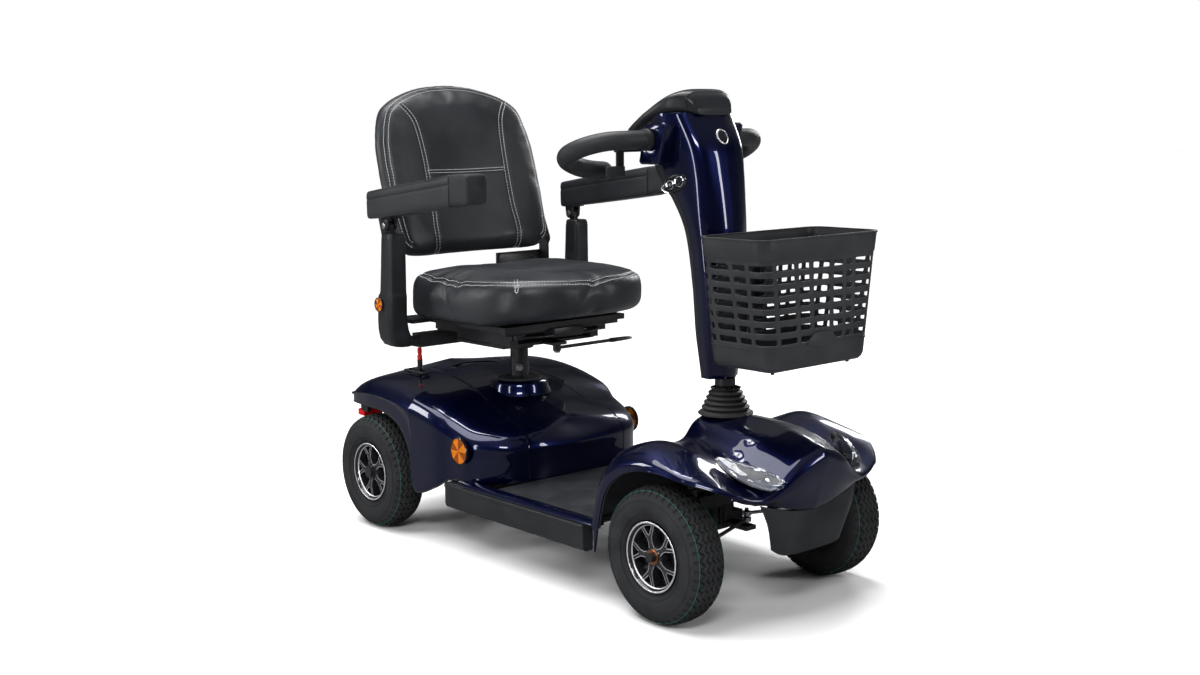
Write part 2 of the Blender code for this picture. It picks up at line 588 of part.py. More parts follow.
def build_rear_cowl():
    sections = cowl_sections()
    cowl = baked(panel("rear_cowl", sections, 29, 10, PANEL))
    cut(cowl, cover_prism("cover_opening", SEAM))
    slot = box("lever_slot", (LEVER_X - 0.008, LEVER_Y - 0.020, 0.30), (LEVER_X + 0.008, LEVER_Y + 0.044, 0.40))
    cut(cowl, slot)
    place(cowl, BLUE_PAINT)

    cover = baked(panel("battery_cover", sections, 29, 10, PANEL))
    boolean(cover, "INTERSECT", [cover_prism("cover_shape", 0)])
    boss_profile = [
        (0.0150, 0.3375), (0.0520, 0.3375), (0.0620, 0.3330), (0.0670, 0.3200), (0.0700, 0.3050), (0.0150, 0.3050),
    ]
    join(cover, baked(turned("post_boss", boss_profile, 28, (0, POST_Y, 0))))
    cut(cover, rod("post_hole", (0, POST_Y, 0.2), (0, POST_Y, 0.4), 0.0216, 28))
    place(cover, BLUE_PAINT, LIFT_PIVOT)

    lever = rod("freewheel_lever", (LEVER_X, LEVER_Y, LEVER_Z - 0.010), (LEVER_X, LEVER_Y, 0.376), 0.0035, 10)
    join(
        lever,
        rod("lever_knob", (LEVER_X, LEVER_Y, 0.366), (LEVER_X, LEVER_Y, 0.402), 0.0055, 12, 0.0065),
        rod("lever_hub", (LEVER_X - 0.006, LEVER_Y, LEVER_Z), (LEVER_X + 0.006, LEVER_Y, LEVER_Z), 0.009, 12),
    )
    place(lever, BLACK_PLASTIC, FREEWHEEL_PIVOT)

    bumper_line = spline([(0.234, 0.500), (0.222, 0.546), (0.172, 0.576), (0.090, 0.587), (0, 0.589)], 9)
    bumper = [[(x, y, 0.2705), (x, y, 0.252)] for x, y in bumper_line]
    strip = panel("rear_bumper", bumper, 9, 2, 0.010)
    place(baked(strip), BLACK_PLASTIC)
    for side, word in SIDES:
        lamp_x = side * 0.190
        lamp = box(f"tail_light_{word}", (lamp_x - 0.026, 0.5450, 0.234), (lamp_x + 0.026, 0.5730, 0.2500), 0.003)
        place(lamp, RED_LENS)
        face_x = side * (0.2360 + 0.0004)
        foot, face = (face_x, 0.140, 0.222), (face_x + side * 0.005, 0.140, 0.222)
        place(rod(f"side_reflector_{word}", foot, face, 0.029, 24, 0.027), AMBER)


HEADLIGHT_OUTLINE = [  # leaf shape on the front of the shroud: x, y, z from its lower tip round
    (0.074, -0.6310, 0.2530), (0.095, -0.6240, 0.2730), (0.120, -0.5980, 0.2900), (0.146, -0.5500, 0.3030),
    (0.158, -0.5250, 0.3040), (0.160, -0.5560, 0.2850), (0.149, -0.5950, 0.2670), (0.116, -0.6240, 0.2540),
]


def headlight_rings(side, steps):
    """Rings of the leaf-shaped headlight, one for each (size, depth) step outwards."""
    leaf = [Vector((side * x, y, z)) for x, y, z in HEADLIGHT_OUTLINE]
    centre = sum(leaf, Vector()) / len(leaf)
    outward = Vector((side * 0.25, -0.75, 0.45)).normalized()
    return [[centre + (point - centre) * size + outward * depth for point in leaf] for size, depth in steps]


def build_front_shroud():
    shroud = baked(panel("front_shroud", SHROUD_NET, 17, 15, PANEL, flip=True))
    cut(shroud, rod("gaiter_hole", (0, STEERING_Y, 0.28), (0, STEERING_Y, 0.40), 0.034, 24))
    for side in (LEFT, RIGHT):
        cut(shroud, loft("headlight_opening", headlight_rings(side, ((1.03, -0.012), (1.03, 0.030)))))
    place(shroud, BLUE_PAINT)


SILL_IN, SILL_OUT = 0.2225, 0.2500


def build_floor_and_lights():
    profile = [
        (0.030, 0.1545), (-0.262, 0.1545), (-0.280, 0.159), (-0.291, 0.185), (-0.304, 0.215), (-0.326, 0.255),
        (-0.336, 0.272),
    ]
    strips = [[(-0.2205, y, z), (0.2205, y, z)] for y, z in profile]
    floor = panel("floor_pan", strips, 19, 2, 0.004, mirror=False, flip=True)
    place(baked(floor), BLACK_PLASTIC, smooth=False)
    for side, word in SIDES:
        ends = sorted((side * SILL_IN, side * SILL_OUT))
        sill = box(f"sill_trim_{word}", (ends[0], -0.268, 0.0955), (ends[1], 0.1830, 0.1500), 0.005, 2)
        place(sill, BLACK_PLASTIC)
        rings = headlight_rings(side, ((0.92, 0.004), (1.0, 0.010), (0.90, 0.015), (0.60, 0.0185)))
        place(loft(f"headlight_{word}", rings), CLEAR_LENS)

    top = spline([(0, -0.616, 0.202), (0.055, -0.615, 0.208), (0.100, -0.613, 0.220), (0.128, -0.608, 0.229)], 7)
    low = spline([(0, -0.615, 0.129), (0.030, -0.6145, 0.129), (0.058, -0.612, 0.130), (0.073, -0.604, 0.134)], 7)
    valance = [[tuple(a), tuple(0.55 * a + 0.45 * b + (0, -0.006, 0)), tuple(b)] for a, b in zip(top, low)]
    place(baked(panel("front_bumper", valance, 7, 4, 0.004)), BLACK_PLASTIC)

    folds = 5
    low_z, high_z, low_r, high_r, wall = 0.3514, 0.3975, 0.050, 0.029, 0.003
    outer = []
    for i in range(2 * folds + 1):
        share = i / (2 * folds)
        radius = low_r + (high_r - low_r) * share - (0.0045 if i % 2 else 0)
        outer.append((radius, low_z + (high_z - low_z) * share))
    profile = list(reversed(outer)) + [(radius - wall, height) for radius, height in outer]
    gaiter = turned("gaiter", profile, 18, (0, STEERING_Y, 0))
    place(baked(gaiter), SOFT_RUBBER, STEERING_PIVOT)


# ---- tiller ------------------------------------------------------------------------------------------------

TILLER_SECTIONS = [  # z, front y, rear y, half width
    (0.416, -0.412, -0.371, 0.036), (0.500, -0.420, -0.362, 0.044), (0.590, -0.425, -0.360, 0.051),
    (0.690, -0.421, -0.348, 0.058), (0.750, -0.415, -0.318, 0.062), (0.800, -0.408, -0.278, 0.066),
    (0.850, -0.398, -0.262, 0.070), (0.905, -0.371, -0.250, 0.073),
]
SEAM_SHARE = 0.80
CONSOLE_SECTIONS = [  # y, low z, high z, half width
    (-0.3740, 0.9075, 0.9210, 0.044), (-0.3640, 0.9070, 0.9440, 0.053), (-0.3450, 0.9065, 0.9565, 0.064),
    (-0.3150, 0.9065, 0.9490, 0.077), (-0.2700, 0.8950, 0.9230, 0.081), (-0.2360, 0.8750, 0.9040, 0.079),
    (-0.2140, 0.8680, 0.8900, 0.074),
]
HANDLEBAR_RADIUS = 0.0175
BAR_HOLE_RADIUS = 0.0195
THROTTLE_Y = -0.2495
HANDLEBAR_HALF = [
    (0.080, -0.300, 0.864), (0.150, -0.299, 0.864), (0.192, -0.284, 0.862), (0.222, -0.258, 0.853),
    (0.2335, -0.228, 0.840), (0.221, -0.207, 0.828), (0.188, -0.200, 0.815), (0.150, -0.200, 0.808),
    (0.108, -0.203, 0.805),
]


def tiller_shell(name, front):
    """One half of the tiller's casing: the front runs from seam to seam round the nose, the rear closes its back."""
    rows = []
    for z, front_y, rear_y, half in TILLER_SECTIONS:
        seam_y = front_y + (rear_y - front_y) * SEAM_SHARE
        if front:
            rows.append([
                (0, front_y, z), (0.42 * half, front_y + 0.003, z), (0.84 * half, front_y + 0.016, z),
                (half, front_y + 0.45 * (rear_y - front_y), z), (0.96 * half, seam_y - 0.0006, z),
            ])
        else:
            rows.append([
                (0, rear_y, z), (0.5 * half, rear_y, z), (0.88 * half, rear_y - 0.2 * (rear_y - seam_y), z),
                (0.95 * half, seam_y + 0.0006, z),
            ])
    return baked(panel(name, rows, 10, 7 if front else 5, 0.0028, flip=not front))


def console_rings(grow=0.0):
    """Rings of the console from its nose to its rear edge. grow makes the space round it."""
    return [
        rounded_ring((0, y, (low + high) / 2), half + grow, (high - low) / 2 + grow, "XZ", 20, 3.4)
        for y, low, high, half in CONSOLE_SECTIONS
    ]


def build_tiller():
    fork_low = TILT_Z
    column = rod("tiller_column", (0, -0.4005, 0.394), (0, -0.372, 0.860), 0.0125, 20)
    for side in (LEFT, RIGHT):
        inner, outer = sorted((side * 0.0092, side * 0.0145))
        foot = arc((STEERING_Y, fork_low), 0.012, 180, 360, 7)
        outline = foot + [(STEERING_Y + 0.010, 0.402), (STEERING_Y - 0.010, 0.402)]
        join(column, slab("fork_cheek", outline, "YZ", inner, outer))
    join(column, rod("tilt_pin", (-0.017, STEERING_Y, fork_low), (0.017, STEERING_Y, fork_low), 0.0050, 12))
    place(column, BLACK_STEEL, TILT_PIVOT)

    front = tiller_shell("tiller_front_cover", True)
    for side in (LEFT, RIGHT):
        root = sorted((side * 0.0660, side * 0.0740))
        join(front, box("saddle_root", (root[0], -0.329, 0.838), (root[1], -0.2945, 0.887)))
        ends = sorted((side * 0.0722, side * 0.1040))
        join(front, box("bar_saddle", (ends[0], -0.330, 0.836), (ends[1], -0.2775, 0.889), 0.005))
    rear = tiller_shell("tiller_rear_cover", False)
    for cover in (front, rear):
        cut(cover, rod("bar_hole", (-0.120, -0.2995, 0.864), (0.120, -0.2995, 0.864), BAR_HOLE_RADIUS, 20))
        cut(cover, loft("console_clearance", console_rings(0.0008)))
    cut(rear, box("tilt_lever_slot", (-0.0350, -0.330, 0.749), (-0.0250, -0.270, 0.791)))
    place(front, BLUE_PAINT, TILT_PIVOT)
    place(rear, BLACK_PLASTIC, TILT_PIVOT)

    place(loft("console_housing", console_rings()), BLACK_PLASTIC, TILT_PIVOT)

    half = [tuple(point) for point in spline(HANDLEBAR_HALF, 16)]
    line = [(-x, y, z) for x, y, z in reversed(half)] + half
    place(tube("handlebar", line, HANDLEBAR_RADIUS, 2), GRIP_FOAM, TILT_PIVOT)

    lever_pivot = pivot("throttle_pivot", (0, THROTTLE_Y, 0.846), TILT_PIVOT)
    lever = box("throttle_lever", (-0.138, THROTTLE_Y - 0.006, 0.8410), (0.138, THROTTLE_Y + 0.006, 0.8470), 0.002)
    join(lever, rod("throttle_hub", (0, THROTTLE_Y, 0.844), (0, THROTTLE_Y, 0.862), 0.0055, 14))
    for side in (LEFT, RIGHT):
        ends = sorted((side * 0.120, side * 0.138))
        join(lever, box("throttle_drop", (ends[0], THROTTLE_Y - 0.0055, 0.803), (ends[1], THROTTLE_Y, 0.845)))
        ends = sorted((side * 0.120, side * 0.166))
        join(lever, box("throttle_paddle", (ends[0], THROTTLE_Y - 0.008, 0.796), (ends[1], THROTTLE_Y - 0.001, 0.816)))
    place(lever, BLACK_PLASTIC, lever_pivot)

    face = Vector((0, 0.044, 0.079)).normalized()
    knob_foot = Vector((0.034, -0.2755, 0.9285))
    knob_pivot = pivot("speed_knob_pivot", knob_foot, TILT_PIVOT)
    place(rod("speed_knob", knob_foot, knob_foot + face * 0.014, 0.0150, 20, 0.0130), BLACK_PLASTIC, knob_pivot)
    key_foot = Vector((0.056, -0.2390, 0.9085))
    key_pivot = pivot("key_pivot", key_foot, TILT_PIVOT)
    key = rod("key", key_foot, key_foot + face * 0.012, 0.0035, 12)
    blade = key_foot + face * 0.018
    join(key, rod("key_bow", blade - X_AXIS * 0.0015, blade + X_AXIS * 0.0015, 0.0095, 16))
    place(key, BLACK_PLASTIC, key_pivot)
    horn_foot = Vector((-0.050, -0.2400, 0.9088))
    horn_pivot = pivot("horn_pivot", horn_foot, TILT_PIVOT)
    place(rod("horn_button", horn_foot, horn_foot + face * 0.0045, 0.0085, 18), RED_LENS, horn_pivot)

    tilt_lever_pivot = pivot("tilt_lever_pivot", (-0.030, -0.2900, 0.7700), TILT_PIVOT)
    turns = np.linspace(0, 2 * math.pi, 12, endpoint=False)
    loop = [(-0.030, -0.2860 + 0.026 * math.sin(a), 0.7700 + 0.0085 * math.cos(a)) for a in turns]
    place(tube("tilt_lever", loop, 0.0018, 1, cyclic=True), BRIGHT_STEEL, tilt_lever_pivot)


# ---- basket ------------------------------------------------------------------------------------------------

BASKET_LOW, BASKET_HIGH = 0.464, 0.695
BASKET_REAR = -0.484
BASKET_WALL = 0.004


def build_basket():
    def tub(name, inset, low, high):
        rings = []
        for z in (low, high):
            share = (z - BASKET_LOW) / (BASKET_HIGH - BASKET_LOW)
            half_x = 0.130 + 0.028 * share - inset
            front, rear = -0.6370 - 0.0045 * share + inset, BASKET_REAR - inset
            corners = [
                (half_x, front + 0.02), (half_x, rear - 0.012), (half_x - 0.012, rear), (0.012 - half_x, rear),
                (-half_x, rear - 0.012), (-half_x, front + 0.02), (0.02 - half_x, front), (half_x - 0.02, front),
            ]
            rings.append([Vector((x, y, z)) for x, y in corners])
        return loft(name, rings)

    basket = tub("basket", 0, BASKET_LOW, BASKET_HIGH)
    cut(basket, tub("basket_inside", BASKET_WALL, BASKET_LOW + BASKET_WALL, BASKET_HIGH + 0.02))
    place(basket, BLACK_PLASTIC, BASKET_PIVOT, smooth=False)
    bracket = box("basket_bracket", (-0.045, -0.4600, 0.500), (0.045, -0.4520, 0.640))
    join(bracket, box("bracket_stem", (-0.020, -0.4530, 0.520), (0.020, -0.4278, 0.600)))
    place(bracket, BLACK_STEEL, TILT_PIVOT, smooth=False)


# ---- seat --------------------------------------------------------------------------------------------------

SOCKET_Y, SOCKET_Z = 0.360, 0.428
EAR_IN, EAR_OUT = 0.2125, 0.2178
PLATE_Y = 0.4240
BACK_LOW, BACK_HEIGHT = -0.022, 0.395
BACK_THICKNESS = 0.048
PAN_LOW, PAN_HIGH = 0.4680, 0.4797
CUSHION_HALF, CUSHION_FRONT = 0.2140, -0.0450
CUSHION_RINGS = [  # size, height at the rear, height at the front edge
    (0.840, 0.4800, 0.5060), (0.955, 0.4860, 0.5170), (1.000, 0.5120, 0.5400), (1.000, 0.5500, 0.5620),
    (0.965, 0.5730, 0.5770), (0.880, 0.5840, 0.5850),
]


def build_seat_base():
    swivel = box("seat_swivel_plate", (-0.125, 0.128, 0.4250), (0.125, 0.300, 0.4310))
    join(
        swivel,
        rod("swivel_hub", (0, POST_Y, SWIVEL_Z), (0, POST_Y, 0.428), 0.032, 24),
        box("rail_left", (0.100, 0.110, 0.4300), (0.122, 0.3000, 0.4450)),
        box("rail_right", (-0.122, 0.110, 0.4300), (-0.100, 0.3000, 0.4450)),
        box("lever_tab", (-0.018, 0.092, 0.4250), (0.018, 0.130, 0.4310)),
    )
    place(swivel, BLACK_STEEL, SWIVEL_PIVOT, smooth=False)

    base = box("seat_base", (-0.165, 0.070, PAN_LOW), (0.165, 0.375, PAN_HIGH))
    wall, bore = 0.015, 0.0108
    pieces = [box("arm_socket", (-0.190, SOCKET_Y - wall, SOCKET_Z - wall), (0.190, SOCKET_Y + wall, SOCKET_Z + wall))]
    for side in (LEFT, RIGHT):
        def ordered(name, x_from, x_to, y_from, y_to, z_from, z_to, side=side):
            ends = sorted((side * x_from, side * x_to))
            return box(name, (ends[0], y_from, z_from), (ends[1], y_to, z_to))

        pieces += [
            ordered("channel", 0.098, 0.124, 0.100, 0.380, 0.4453, PAN_LOW + 0.002),
            ordered("socket_hanger", 0.098, 0.124, SOCKET_Y - 0.014, SOCKET_Y + 0.014, 0.4400, PAN_LOW + 0.002),
            ordered("hinge_tongue", 0.150, EAR_OUT - 0.001, 0.330, 0.401, PAN_LOW + 0.0015, PAN_HIGH - 0.0015),
            ordered("hinge_arm", EAR_IN, EAR_OUT, 0.386, PLATE_Y + 0.007, PAN_LOW - 0.001, 0.498),
            ordered("hinge_upright", EAR_IN, EAR_OUT, FOLD_Y - 0.014, FOLD_Y + 0.0165, 0.485, FOLD_Z - 0.004),
        ]
        ends = sorted((side * EAR_IN, side * EAR_OUT))
        ear = arc((FOLD_Y, FOLD_Z), 0.014, 0, 180, 9)
        below = [(FOLD_Y - 0.014, FOLD_Z - 0.012), (FOLD_Y + 0.014, FOLD_Z - 0.012)]
        pieces.append(slab("hinge_ear", ear + below, "YZ", *ends))
    pieces.append(box("recliner_cover", (0.085, PLATE_Y, 0.4722), (EAR_IN + 0.003, PLATE_Y + 0.0050, 0.597)))
    foot_low, foot_high = PAN_LOW + 0.0008, PAN_HIGH - 0.0008
    pieces.append(box("recliner_foot", (0.105, 0.355, foot_low), (0.1905, PLATE_Y + 0.003, foot_high)))
    join(base, *pieces)
    cut(base, box("socket_bore", (-0.25, SOCKET_Y - bore, SOCKET_Z - bore), (0.25, SOCKET_Y + bore, SOCKET_Z + bore)))
    pin_hole = rod("fold_bore", (-0.25, FOLD_Y, FOLD_Z), (0.25, FOLD_Y, FOLD_Z), 0.0052, 12)
    cut(base, pin_hole)
    place(base, BLACK_STEEL, SLIDE_PIVOT, smooth=False)

    lever_pivot = pivot("swivel_lever_pivot", (0.0, 0.104, 0.4175), SWIVEL_PIVOT)
    lever = rod("swivel_lever", (0.0, 0.104, 0.4175), (0.168, 0.104, 0.4175), 0.0038, 10)
    paddle = arc((0.160, 0.104), 0.013, 90, 270, 7) + arc((0.202, 0.104), 0.013, -90, 90, 7)
    join(lever, slab("lever_paddle", paddle, "XY", 0.4145, 0.4205))
    join(lever, rod("lever_boss", (0.0, 0.104, 0.4115), (0.0, 0.104, 0.4244), 0.009, 14))
    place(lever, BLACK_STEEL, lever_pivot)


def build_seat():
    reach = 0.190 - CUSHION_FRONT
    front = [
        (CUSHION_HALF * math.copysign(abs(math.cos(a)) ** 0.72, math.cos(a)), 0.190 - reach * abs(math.sin(a)) ** 0.72)
        for a in np.linspace(math.pi, 2 * math.pi, 13)
    ]
    corner = CUSHION_HALF - 0.050
    outline = front + arc((corner, 0.328), 0.050, 0, 90, 4) + arc((-corner, 0.328), 0.050, 90, 180, 4)
    middle_y = (0.378 + CUSHION_FRONT) / 2
    rings = []
    for size, rear_z, front_z in CUSHION_RINGS:
        ring = []
        for x, y in outline:
            place_y = middle_y + (y - middle_y) * size
            share = min(max((0.10 - place_y) / 0.14, 0), 1)
            ring.append(Vector((x * size, place_y, rear_z + (front_z - rear_z) * share)))
        rings.append(ring)
    place(loft("seat_cushion", rings), VINYL, SLIDE_PIVOT)

    def back_outline(inset):
        side = [
            (0.165, 0.0), (0.200, 0.014), (0.209, 0.042), (0.214, 0.108), (0.216, 0.182), (0.212, 0.256),
            (0.194, 0.322), (0.167, 0.351), (0.120, 0.374), (0.062, 0.390), (0.0, BACK_HEIGHT),
        ]
        smooth_side = [tuple(point) for point in spline(side, 16)]
        shrink = 1 - inset / (BACK_HEIGHT / 2)
        shrunk = [(x * shrink, BACK_LOW + BACK_HEIGHT / 2 + (z - BACK_HEIGHT / 2) * shrink) for x, z in smooth_side]
        return shrunk + [(-x, z) for x, z in reversed(shrunk[:-1])]

    lean = Matrix.Translation((0, FOLD_Y, FOLD_Z)) @ Matrix.Rotation(-RECLINE, 4, "X")
    pad = slab("backrest_pad", back_outline(0.0), "XZ", -BACK_THICKNESS, 0, 0.016, 1)
    pad.data.transform(lean)
    place(pad, VINYL, FOLD_PIVOT)

    shell = slab("backrest_shell", back_outline(0.012), "XZ", GAP, GAP + 0.0045)
    shell.data.transform(lean)
    for side in (LEFT, RIGHT):
        plate_outline = arc((0, 0), 0.013, 180, 360, 8) + [(0.0125, 0.098), (0.0030, 0.104), (-0.0030, 0.098)]
        plate = slab("fold_plate", plate_outline, "YZ", *sorted((side * 0.2184, side * 0.2234)))
        bridge = sorted((side * 0.150, side * 0.2230))
        strap = box("fold_bridge", (bridge[0], 0.0015, 0.070), (bridge[1], 0.0110, 0.096))
        for piece in (plate, strap):
            piece.data.transform(lean)
            join(shell, piece)
        across = sorted((side * 0.2105, side * 0.2232))
        join(shell, rod("fold_pin", (across[0], FOLD_Y, FOLD_Z), (across[1], FOLD_Y, FOLD_Z), 0.0048, 12))
    place(shell, BLACK_PLASTIC, FOLD_PIVOT)


ARM_POST_RINGS = [  # z, y, half depth, half width, x of the centre
    (0.4180, 0.362, 0.018, 0.016, 0.226), (0.4300, 0.360, 0.026, 0.030, 0.238), (0.4700, 0.350, 0.029, 0.024, 0.256),
    (0.5300, 0.345, 0.030, 0.0225, 0.257), (0.5420, 0.342, 0.025, 0.0220, 0.257),
    (0.6600, 0.3365, 0.0215, 0.0205, ARM_X), (0.6700, 0.3365, 0.0185, 0.0180, ARM_X),
]


def build_armrests():
    for side, word in SIDES:
        width_pivot = pivot(f"arm_{word}_width_pivot", (side * 0.19, SOCKET_Y, SOCKET_Z), SLIDE_PIVOT)
        x = side * ARM_X
        rings = [
            rounded_ring((side * centre_x, y, z), width, depth, "XY", 16, 4.0)
            for z, y, depth, width, centre_x in ARM_POST_RINGS
        ]
        post = loft(f"arm_post_{word}", rings)
        ends = sorted((side * 0.100, side * 0.230))
        bar = 0.0102
        low, high = (ends[0], SOCKET_Y - bar, SOCKET_Z - bar), (ends[1], SOCKET_Y + bar, SOCKET_Z + bar)
        join(post, box("arm_bar", low, high))
        faces = sorted((side * 0.14, side * 0.1905))
        cut(post, box("post_face", (faces[0], 0.30, 0.40), (faces[1], SOCKET_Y - bar, 0.50)))
        lug = arc((ARM_PIVOT_Y, ARM_PIVOT_Z), 0.010, -10, 190, 9)
        lug += [(ARM_PIVOT_Y - 0.012, 0.668), (ARM_PIVOT_Y + 0.0045, 0.668)]
        join(post, slab("arm_lug", lug, "YZ", x - 0.006, x + 0.006))
        pin = Vector((x, ARM_PIVOT_Y, ARM_PIVOT_Z))
        join(post, rod("arm_pin", pin - X_AXIS * 0.014, pin + X_AXIS * 0.014, 0.0045, 12))
        place(post, BLACK_PLASTIC, width_pivot)

        lift_pivot = pivot(f"arm_{word}_lift_pivot", (x, ARM_PIVOT_Y, ARM_PIVOT_Z), width_pivot)
        outline = [
            (0.3770, 0.6980), (0.3780, 0.7580), (0.0760, 0.7985), (0.0200, 0.8020), (0.0140, 0.7960), (0.0140, 0.7450),
            (0.0200, 0.7390), (0.0520, 0.7380), (0.0750, 0.7340),
        ]
        pad_x = x + side * ARM_PAD_OFFSET
        pad = slab(f"armrest_{word}", list(reversed(outline)), "YZ", pad_x - ARM_PAD_HALF, pad_x + ARM_PAD_HALF, 0.005)
        for cheek in (-1, 1):
            near, far = sorted((x + cheek * 0.0068, x + cheek * 0.0125))
            cheek_shape = arc((ARM_PIVOT_Y, ARM_PIVOT_Z), 0.011, 180, 360, 7)
            cheek_shape += [(ARM_PIVOT_Y + 0.011, 0.708), (ARM_PIVOT_Y - 0.011, 0.708)]
            join(pad, slab("arm_cheek", cheek_shape, "YZ", near, far))
        cut(pad, rod("cheek_bore", pin - X_AXIS * 0.05, pin + X_AXIS * 0.05, 0.0050, 12))
        place(pad, VINYL, lift_pivot)


build_frame()
build_drive()
build_rear_wheels()
build_steering()
build_rear_cowl()
build_front_shroud()
build_floor_and_lights()
build_tiller()
build_basket()
build_seat_base()
build_seat()
build_armrests()
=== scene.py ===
"""Looks of the four-wheel mobility scooter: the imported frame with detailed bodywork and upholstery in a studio.

Places are in metres from the ground under the middle of the wheelbase, as in the CAD source. add() shifts
each piece into the frame's coordinates, whose origin is under the middle of the overall length.
"""

import math

import bmesh
import bpy
import numpy as np
from mathutils import Matrix, Vector
from mathutils.bvhtree import BVHTree


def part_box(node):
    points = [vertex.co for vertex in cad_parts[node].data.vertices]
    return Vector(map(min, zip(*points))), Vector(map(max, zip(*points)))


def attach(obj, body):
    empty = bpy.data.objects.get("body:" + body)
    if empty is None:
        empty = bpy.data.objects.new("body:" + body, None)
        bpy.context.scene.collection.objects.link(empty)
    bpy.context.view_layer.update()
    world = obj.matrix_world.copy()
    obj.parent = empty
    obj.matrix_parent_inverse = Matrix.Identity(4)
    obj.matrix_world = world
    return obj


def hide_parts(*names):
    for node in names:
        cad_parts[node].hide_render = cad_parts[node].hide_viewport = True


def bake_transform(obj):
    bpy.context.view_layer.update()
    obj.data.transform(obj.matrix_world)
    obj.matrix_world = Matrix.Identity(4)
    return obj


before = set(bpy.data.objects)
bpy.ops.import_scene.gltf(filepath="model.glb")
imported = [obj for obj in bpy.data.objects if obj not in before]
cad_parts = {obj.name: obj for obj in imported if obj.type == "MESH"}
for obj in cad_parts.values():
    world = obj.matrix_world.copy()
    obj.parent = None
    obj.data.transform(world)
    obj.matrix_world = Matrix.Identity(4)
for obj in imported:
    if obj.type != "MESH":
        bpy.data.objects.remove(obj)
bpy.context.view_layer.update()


def middle(node):
    low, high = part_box(node)
    return (Vector(low) + Vector(high)) / 2


SHIFT = Vector((0, (middle("front_left_tyre").y + middle("rear_left_tyre").y) / 2, 0))
SIDES = ((1, "left"), (-1, "right"))
X_AXIS, Y_AXIS, Z_AXIS = Vector((1, 0, 0)), Vector((0, 1, 0)), Vector((0, 0, 1))

# ---- camera, floor and light -------------------------------------------------------------------------------

CAMERA_PLACE = Vector((-1.97628, -2.32828, 0.90464))
CAMERA_HEADING, CAMERA_PITCH, CAMERA_ROLL = math.radians(-40.792), math.radians(8.464), math.radians(-0.786)
LENS_MM, SENSOR_MM = 44.196, 36


def build_camera():
    forward = Vector((
        -math.sin(CAMERA_HEADING) * math.cos(CAMERA_PITCH), math.cos(CAMERA_HEADING) * math.cos(CAMERA_PITCH),
        -math.sin(CAMERA_PITCH),
    ))
    right = Vector((math.cos(CAMERA_HEADING), math.sin(CAMERA_HEADING), 0))
    up = right.cross(forward)
    rolled_right = math.cos(CAMERA_ROLL) * right + math.sin(CAMERA_ROLL) * up
    rolled_up = math.cos(CAMERA_ROLL) * up - math.sin(CAMERA_ROLL) * right
    data = bpy.data.cameras.new("camera")
    data.lens = LENS_MM
    data.sensor_width = SENSOR_MM
    data.clip_start, data.clip_end = 0.05, 100
    camera = bpy.data.objects.new("camera", data)
    turn = Matrix((rolled_right, rolled_up, -forward)).transposed().to_4x4()
    camera.matrix_world = Matrix.Translation(CAMERA_PLACE + SHIFT) @ turn
    bpy.context.scene.collection.objects.link(camera)
    bpy.context.scene.camera = camera


def area_light(name, place, target, size, power):
    data = bpy.data.lights.new(name, "AREA")
    data.shape = "RECTANGLE"
    data.size, data.size_y = size
    data.energy = power
    lamp = bpy.data.objects.new(name, data)
    lamp.location = Vector(place)
    lamp.rotation_mode = "QUATERNION"
    lamp.rotation_quaternion = (Vector(target) - Vector(place)).to_track_quat("-Z", "Y")
    bpy.context.scene.collection.objects.link(lamp)


FLOOR_COLOUR = (0.92, 0.92, 0.925)
FLOOR_IN_REFLECTIONS = (0.12, 0.12, 0.125)
FLOOR_HALF = 30
WORLD_STRENGTH, SUN_STRENGTH, SUN_ANGLE = 0.32, 3.2, 50
AREA_LIGHTS = (  # name, place, target, size, power
    ("key", (-2.4, -2.6, 2.6), (0, 0, 0.4), (1.3, 0.5), 62),
    ("top", (0.2, 0.3, 2.8), (0, 0.1, 0.3), (1.8, 0.6), 52),
    ("front", (1.5, -3.4, 1.5), (0, -0.3, 0.4), (0.5, 1.4), 36),
    ("rear", (-2.8, 2.4, 1.5), (0, 0.1, 0.4), (0.5, 1.4), 36),
    ("far_side", (3.0, 0.8, 1.8), (0, 0, 0.4), (0.6, 1.4), 36),
    ("low_strip", (-3.0, -0.2, 0.9), (0, 0, 0.3), (0.25, 1.8), 22),
)


